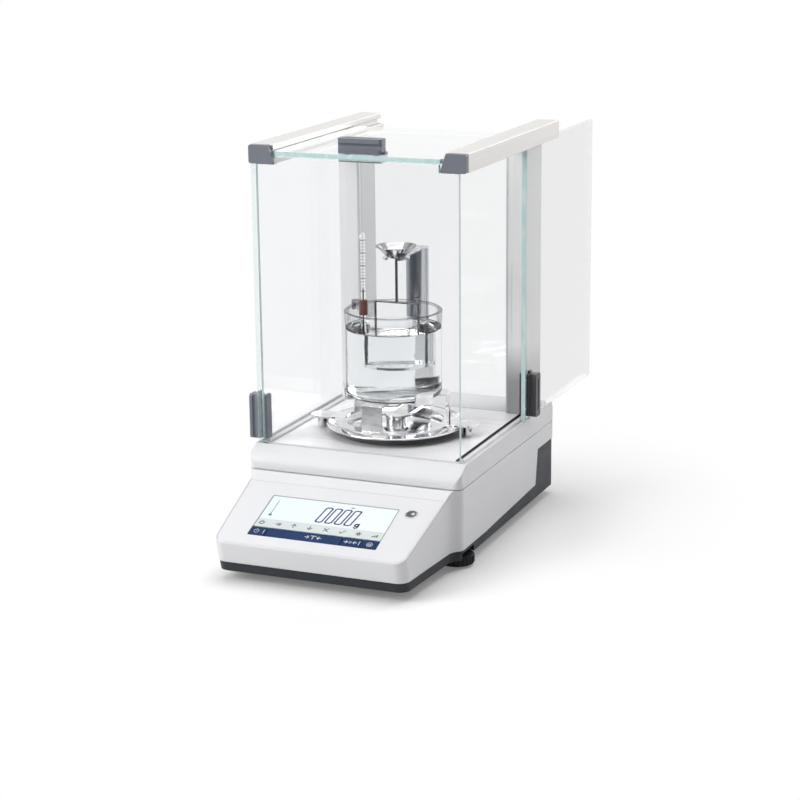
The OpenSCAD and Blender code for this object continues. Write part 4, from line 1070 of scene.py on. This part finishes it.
@dataclass
class DensityKit:
    """Tray, platform, beaker with water, thermometer, bracket, dish, hanger and basket."""

    shop: Workshop
    floor_top: float = 88.3
    kit_y: float = -4.0
    seat_top: float = 122.0
    facets: int = 128
    tray_bore: float = 10.6
    tray_sheet: float = 1.2
    tray_under: Sequence[Point] = ((50.0, 0.0), (57.5, 4.6), (60.6, 6.6))
    tray_rim: Point3 = (60.0, 7.5, 1.0)
    tray_inside: Sequence[Point] = (
        (59.3, 8.3), (56.5, 6.2), (49.2, 2.1), (47.4, 3.2), (44.4, 3.3), (42.6, 1.3), (30.0, 1.2)
    )
    tray_shade: Point3 = (49.0, 48.5, 0.57)
    beaker_r: float = 41.5
    beaker_h: float = 75.0
    wall: float = 1.6
    bead: Point = (40.9, 1.6)
    base: float = 3.4
    heels: Point = (5.0, 4.0)
    water_h: float = 58.6
    water_grip: Point = (0.08, 0.05)
    meniscus: float = 1.0
    stem_r: float = 2.4
    stem_len: float = 122.0
    thread: Point = (0.45, 74.0)
    scale: tuple[float, float, int] = (72.0, 2.8, 17)
    scale_print: Point3 = (0.45, 0.2, 0.05)
    sleeve_r: float = 4.4
    clip_edge: float = 0.3
    dish_outside: Sequence[Point] = ((0.0, 0.0), (6.4, 0.0), (7.3, 0.35), (12.5, 5.4), (17.2, 9.9))
    dish_rim: Point3 = (17.5, 10.05, 0.45)
    dish_inside: Sequence[Point] = ((16.6, 9.9), (12.1, 5.8), (7.0, 1.0), (6.2, 0.8), (0.0, 0.8))

    def under_tray(self, r: float, z: float) -> bool:
        """Say whether a place on the tray lies under its slope."""
        start, foot, slope = self.tray_shade
        return r > start and z < (r - foot) * slope

    def tray(self) -> None:
        """Turn the tray with its rolled rim and raised ring."""
        x, z, r = self.tray_rim
        profile = [
            (self.tray_bore, 0.0), *eased(self.tray_under), *arc((x, z), r, -20, 150),
            *eased(self.tray_inside), (self.tray_bore, self.tray_sheet),
        ]
        mesh = lathe(profile, (0, 0, self.floor_top), self.facets, self.under_tray)
        # Faces under the tray's slope take the near-black steel: painted shade under the rim.
        self.shop.stand_in("drip_tray", mesh, KIT, UNDERSIDE_SHADE)

    def vessel(self) -> None:
        """Turn the beaker with its heel and beaded rim, and the water in it."""
        r, inner, base, top = self.beaker_r, self.beaker_r - self.wall, self.base, self.water_h
        heel, hollow = self.heels
        foot = (0.0, self.kit_y, self.seat_top)
        bead_x, bead_r = self.bead
        bead_z = self.beaker_h - bead_r
        dry, rim = top + self.meniscus, bead_z - bead_r
        glass = [
            (0.0, 0.0), *arc((r - heel, heel), heel, -90, 0), (r, dry),
            *arc((bead_x, bead_z), bead_r, 20, 200, 10), (inner, dry),
            *arc((inner - hollow, base + hollow), hollow, 0, -90), (0.0, base),
        ]
        mesh = lathe(glass, foot, self.facets, lambda _, z: (z > dry) + (z > rim))
        self.shop.stand_in("beaker", mesh, BEAKER, DRY_WALL, BEAD)
        reach, low = inner + self.water_grip[0], base - self.water_grip[1]
        liquid = [
            (0.0, low), *arc((reach - hollow, low + hollow), hollow, -90, 0), (reach, dry),
            (reach - 0.8, top + 0.3), (reach - 2.2, top + 0.05), (reach - 4.0, top), (0.0, top),
        ]
        self.shop.add("water", lathe(liquid, foot, self.facets), "beaker", WATER)

    def reading(self) -> None:
        """Turn the thermometer's stem, its thread and its scale."""
        r, end = self.stem_r, self.stem_len
        low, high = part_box("thermometer")
        foot = ((low.x + high.x) / 2 / MM, (low.y + high.y) / 2 / MM, low.z / MM)
        stem = [(0.0, 0.0), *arc((0.0, r), r, -80, 0, 6), *arc((0.0, end), r, 0, 80, 6), (0.0, end + r)]
        self.shop.stand_in("thermometer", lathe(stem, foot, 40), STEM)
        thin, end = self.thread
        thread = [(0.0, 1.2), *arc((0.0, 3.0), 1.5, -60, 60, 5), (thin, 6.0), (thin, end), (0.0, end + 0.5)]
        self.shop.add("thermometer_thread", lathe(thread, foot, 16), "thermometer", THREAD)
        start, pitch, count = self.scale
        tall, short, deep = self.scale_print
        scale, out = bmesh.new(), r + deep
        for i in range(count):
            z = start + pitch * i
            top = z + (short if i % 4 else tall)
            ring = lathe([(r, z), (out, z), (out, top), (r, top)], foot, 24)
            scale.from_mesh(ring)
            bpy.data.meshes.remove(ring)
        self.shop.add("thermometer_scale", mesh_of(scale), "thermometer", MARKS)

    def dish(self) -> None:
        """Turn the weighing dish with its rolled rim."""
        low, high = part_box("weighing_dish")
        foot = (0.0, (low.y + high.y) / 2 / MM, low.z / MM)
        x, z, r = self.dish_rim
        profile = [*eased(self.dish_outside), *arc((x, z), r, -45, 160, 6), *eased(self.dish_inside)]
        self.shop.stand_in("weighing_dish", lathe(profile, foot), SHADED_DISH)

    def on_strap(self, face: Face) -> bool:
        """Say whether a face of the clip lies on its strap, away from the sleeve."""
        low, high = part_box("thermometer")
        return (face.calc_center_median() - (low + high) / 2).xy.length > self.sleeve_r * MM

    def build(self) -> None:
        self.tray()
        self.vessel()
        self.reading()
        self.dish()
        self.shop.dress(KIT, "platform", "basket", "bracket_base")
        self.shop.dress(POST, "bracket_column")
        self.shop.dress(SPINDLE, "hanger")
        self.shop.soften("thermometer_clip", self.clip_edge, CLIP_RED, KIT, second=self.on_strap)


@dataclass
class WeighingCell:
    """Inner pieces: cell, magnet, coil, carrier and boards."""

    shop: Workshop

    def build(self) -> None:
        """Dress the inner pieces."""
        self.shop.dress(MILLED, "weigh_cell", "pan_carrier")
        self.shop.dress(IRON, "cell_magnet")
        self.shop.dress(COPPER, "coil_lever")
        self.shop.dress(GREEN_BOARD, "main_board", "display_board")


@dataclass
class Studio:
    """Pale floor, soft lamps, white surroundings and the camera."""

    camera_at: Point3 = (681.7, -1619.0, 575.5)
    azimuth: float = 22.72
    elevation: float = 14.69
    roll: float = 0.6
    lens: float = 93.92
    sensor: float = 36.0
    far_clip: float = 50.0
    # Each lamp's name, place and side in metres, and power in watts
    lamps: Sequence[tuple[str, Point3, float, float]] = (
        ("key", (-1.45, -1.65, 1.4), 1.4, 40.0),
        ("top", (0.0, 0.0, 2.1), 1.8, 22.0),
        ("side", (1.0, 2.3, 0.9), 1.2, 21.0),
    )
    lamp_aim: Point3 = (0.0, 0.0, 0.12)
    floor_half: float = 6.0
    floor_glow: float = 0.16
    floor_fade: Point = (0.16, 0.31)
    floor_reach: Point3 = (1.0, 0.75, 1.0)
    floor_front: Point = (-0.3, -0.55)
    floor_tones: tuple[Colour, Colour] = ((0.8, 0.8, 0.8), (0.82, 0.82, 0.82))
    ambient: float = 0.36
    shade: float = 0.05
    dusk: Colour = (0.12, 0.125, 0.135)
    glass_dusk: float = 0.4

    def floor(self) -> None:
        """Lay the floor: white but for the object's shadow, with dusk in front for reflections."""
        half = self.floor_half
        mesh = bpy.data.meshes.new("floor")
        corners = [(-half, -half, 0), (half, -half, 0), (half, half, 0), (-half, half, 0)]
        mesh.from_pydata(corners, [], [(0, 1, 2, 3)])
        graph = Graph("pale_floor")
        seen = graph.rays("Camera", "Transmission", "Glossy")
        plain = graph.out("BsdfDiffuse", Color=graph.mix(graph.noise(2.0), *self.floor_tones))
        glow = graph.out("Emission", Strength=graph.times(seen, self.floor_glow))
        near = graph.out("AddShader", plain, glow)
        away = graph.node("VectorMath", graph.place(self.floor_reach), how="LENGTH").outputs["Value"]
        fade = graph.times(seen, graph.span(away, *self.floor_fade))
        far = graph.out("Emission", Strength=1.0)
        front = graph.times(graph.rays("Glossy"), graph.span(graph.along(Axis.Y), *self.floor_front))
        dim = graph.out("Emission", Color=self.dusk)
        mesh.materials.append(graph.done(graph.blend(front, graph.blend(fade, near, far), dim)))
        placed("floor", mesh)

    def surroundings(self) -> None:
        """Make white surroundings, with a dusky side behind the camera for reflections and soft light."""
        graph = Graph("surroundings", True)
        around = graph.node("TexCoord").outputs["Generated"]
        across, depth, height = graph.node("SeparateXYZ", Vector=around).outputs
        behind = graph.span(depth, 0.0, -0.45)
        level = graph.span(height, 0.85, 0.45)
        clear = graph.span(graph.rays("Transmission"), 0.0, 1.0, 1.0, self.glass_dusk)
        share = graph.times(graph.times(behind, level), clear)
        mirrored = graph.mix(share, ONES, self.dusk)
        aside = graph.out("Math", graph.times(across, 0.5), depth, how="SUBTRACT")
        dim = graph.span(aside, 0.2, 0.9, 1.0, self.shade)
        lit = graph.mix(graph.times(dim, self.ambient), (0.0, 0.0, 0.0), ONES)
        sharp = graph.rays("Glossy", "Transmission")
        colour = graph.mix(graph.rays("Camera"), graph.mix(sharp, lit, mirrored), ONES)
        bpy.context.scene.world = graph.done(graph.out("Background", Color=colour, Strength=1.0))

    def light(self) -> None:
        """Hang the soft lamps, which point at the chamber."""
        for name, at, size, power in self.lamps:
            data = bpy.data.lights.new(name, "AREA")
            data.size, data.energy = size, power
            lamp = placed(name, data)
            lamp.location = at
            lamp.rotation_euler = (Vector(self.lamp_aim) - Vector(at)).to_track_quat("-Z", "Y").to_euler()

    def camera(self) -> None:
        """Set up the photograph's view."""
        data = bpy.data.cameras.new("view")
        data.sensor_width, data.lens, data.clip_end = self.sensor, self.lens, self.far_clip
        camera = placed("view", data)
        pose = Matrix.Translation(Vector(self.camera_at) * MM)
        for angle, axis in ((self.azimuth, "Z"), (90.0 - self.elevation, "X"), (-self.roll, "Z")):
            pose = pose @ Matrix.Rotation(math.radians(angle), 4, axis)
        camera.matrix_world = pose
        bpy.context.scene.camera = camera

    def build(self) -> None:
        """Set up the studio."""
        bpy.context.scene.view_settings.view_transform = "Standard"
        self.floor()
        self.surroundings()
        self.light()
        self.camera()


def main() -> None:
    """Build every sub-assembly in order."""
    logging.basicConfig(level=logging.INFO, format="%(name)s %(message)s")
    shop = Workshop(frame)
    Studio().build()
    for part in (Housing, ControlNose, DraftShield, Doors, Feet, DensityKit, WeighingCell):
        part(shop).build()
        LOG.info("%s ready", part.__name__)


if __name__ == "__main__":
    main()
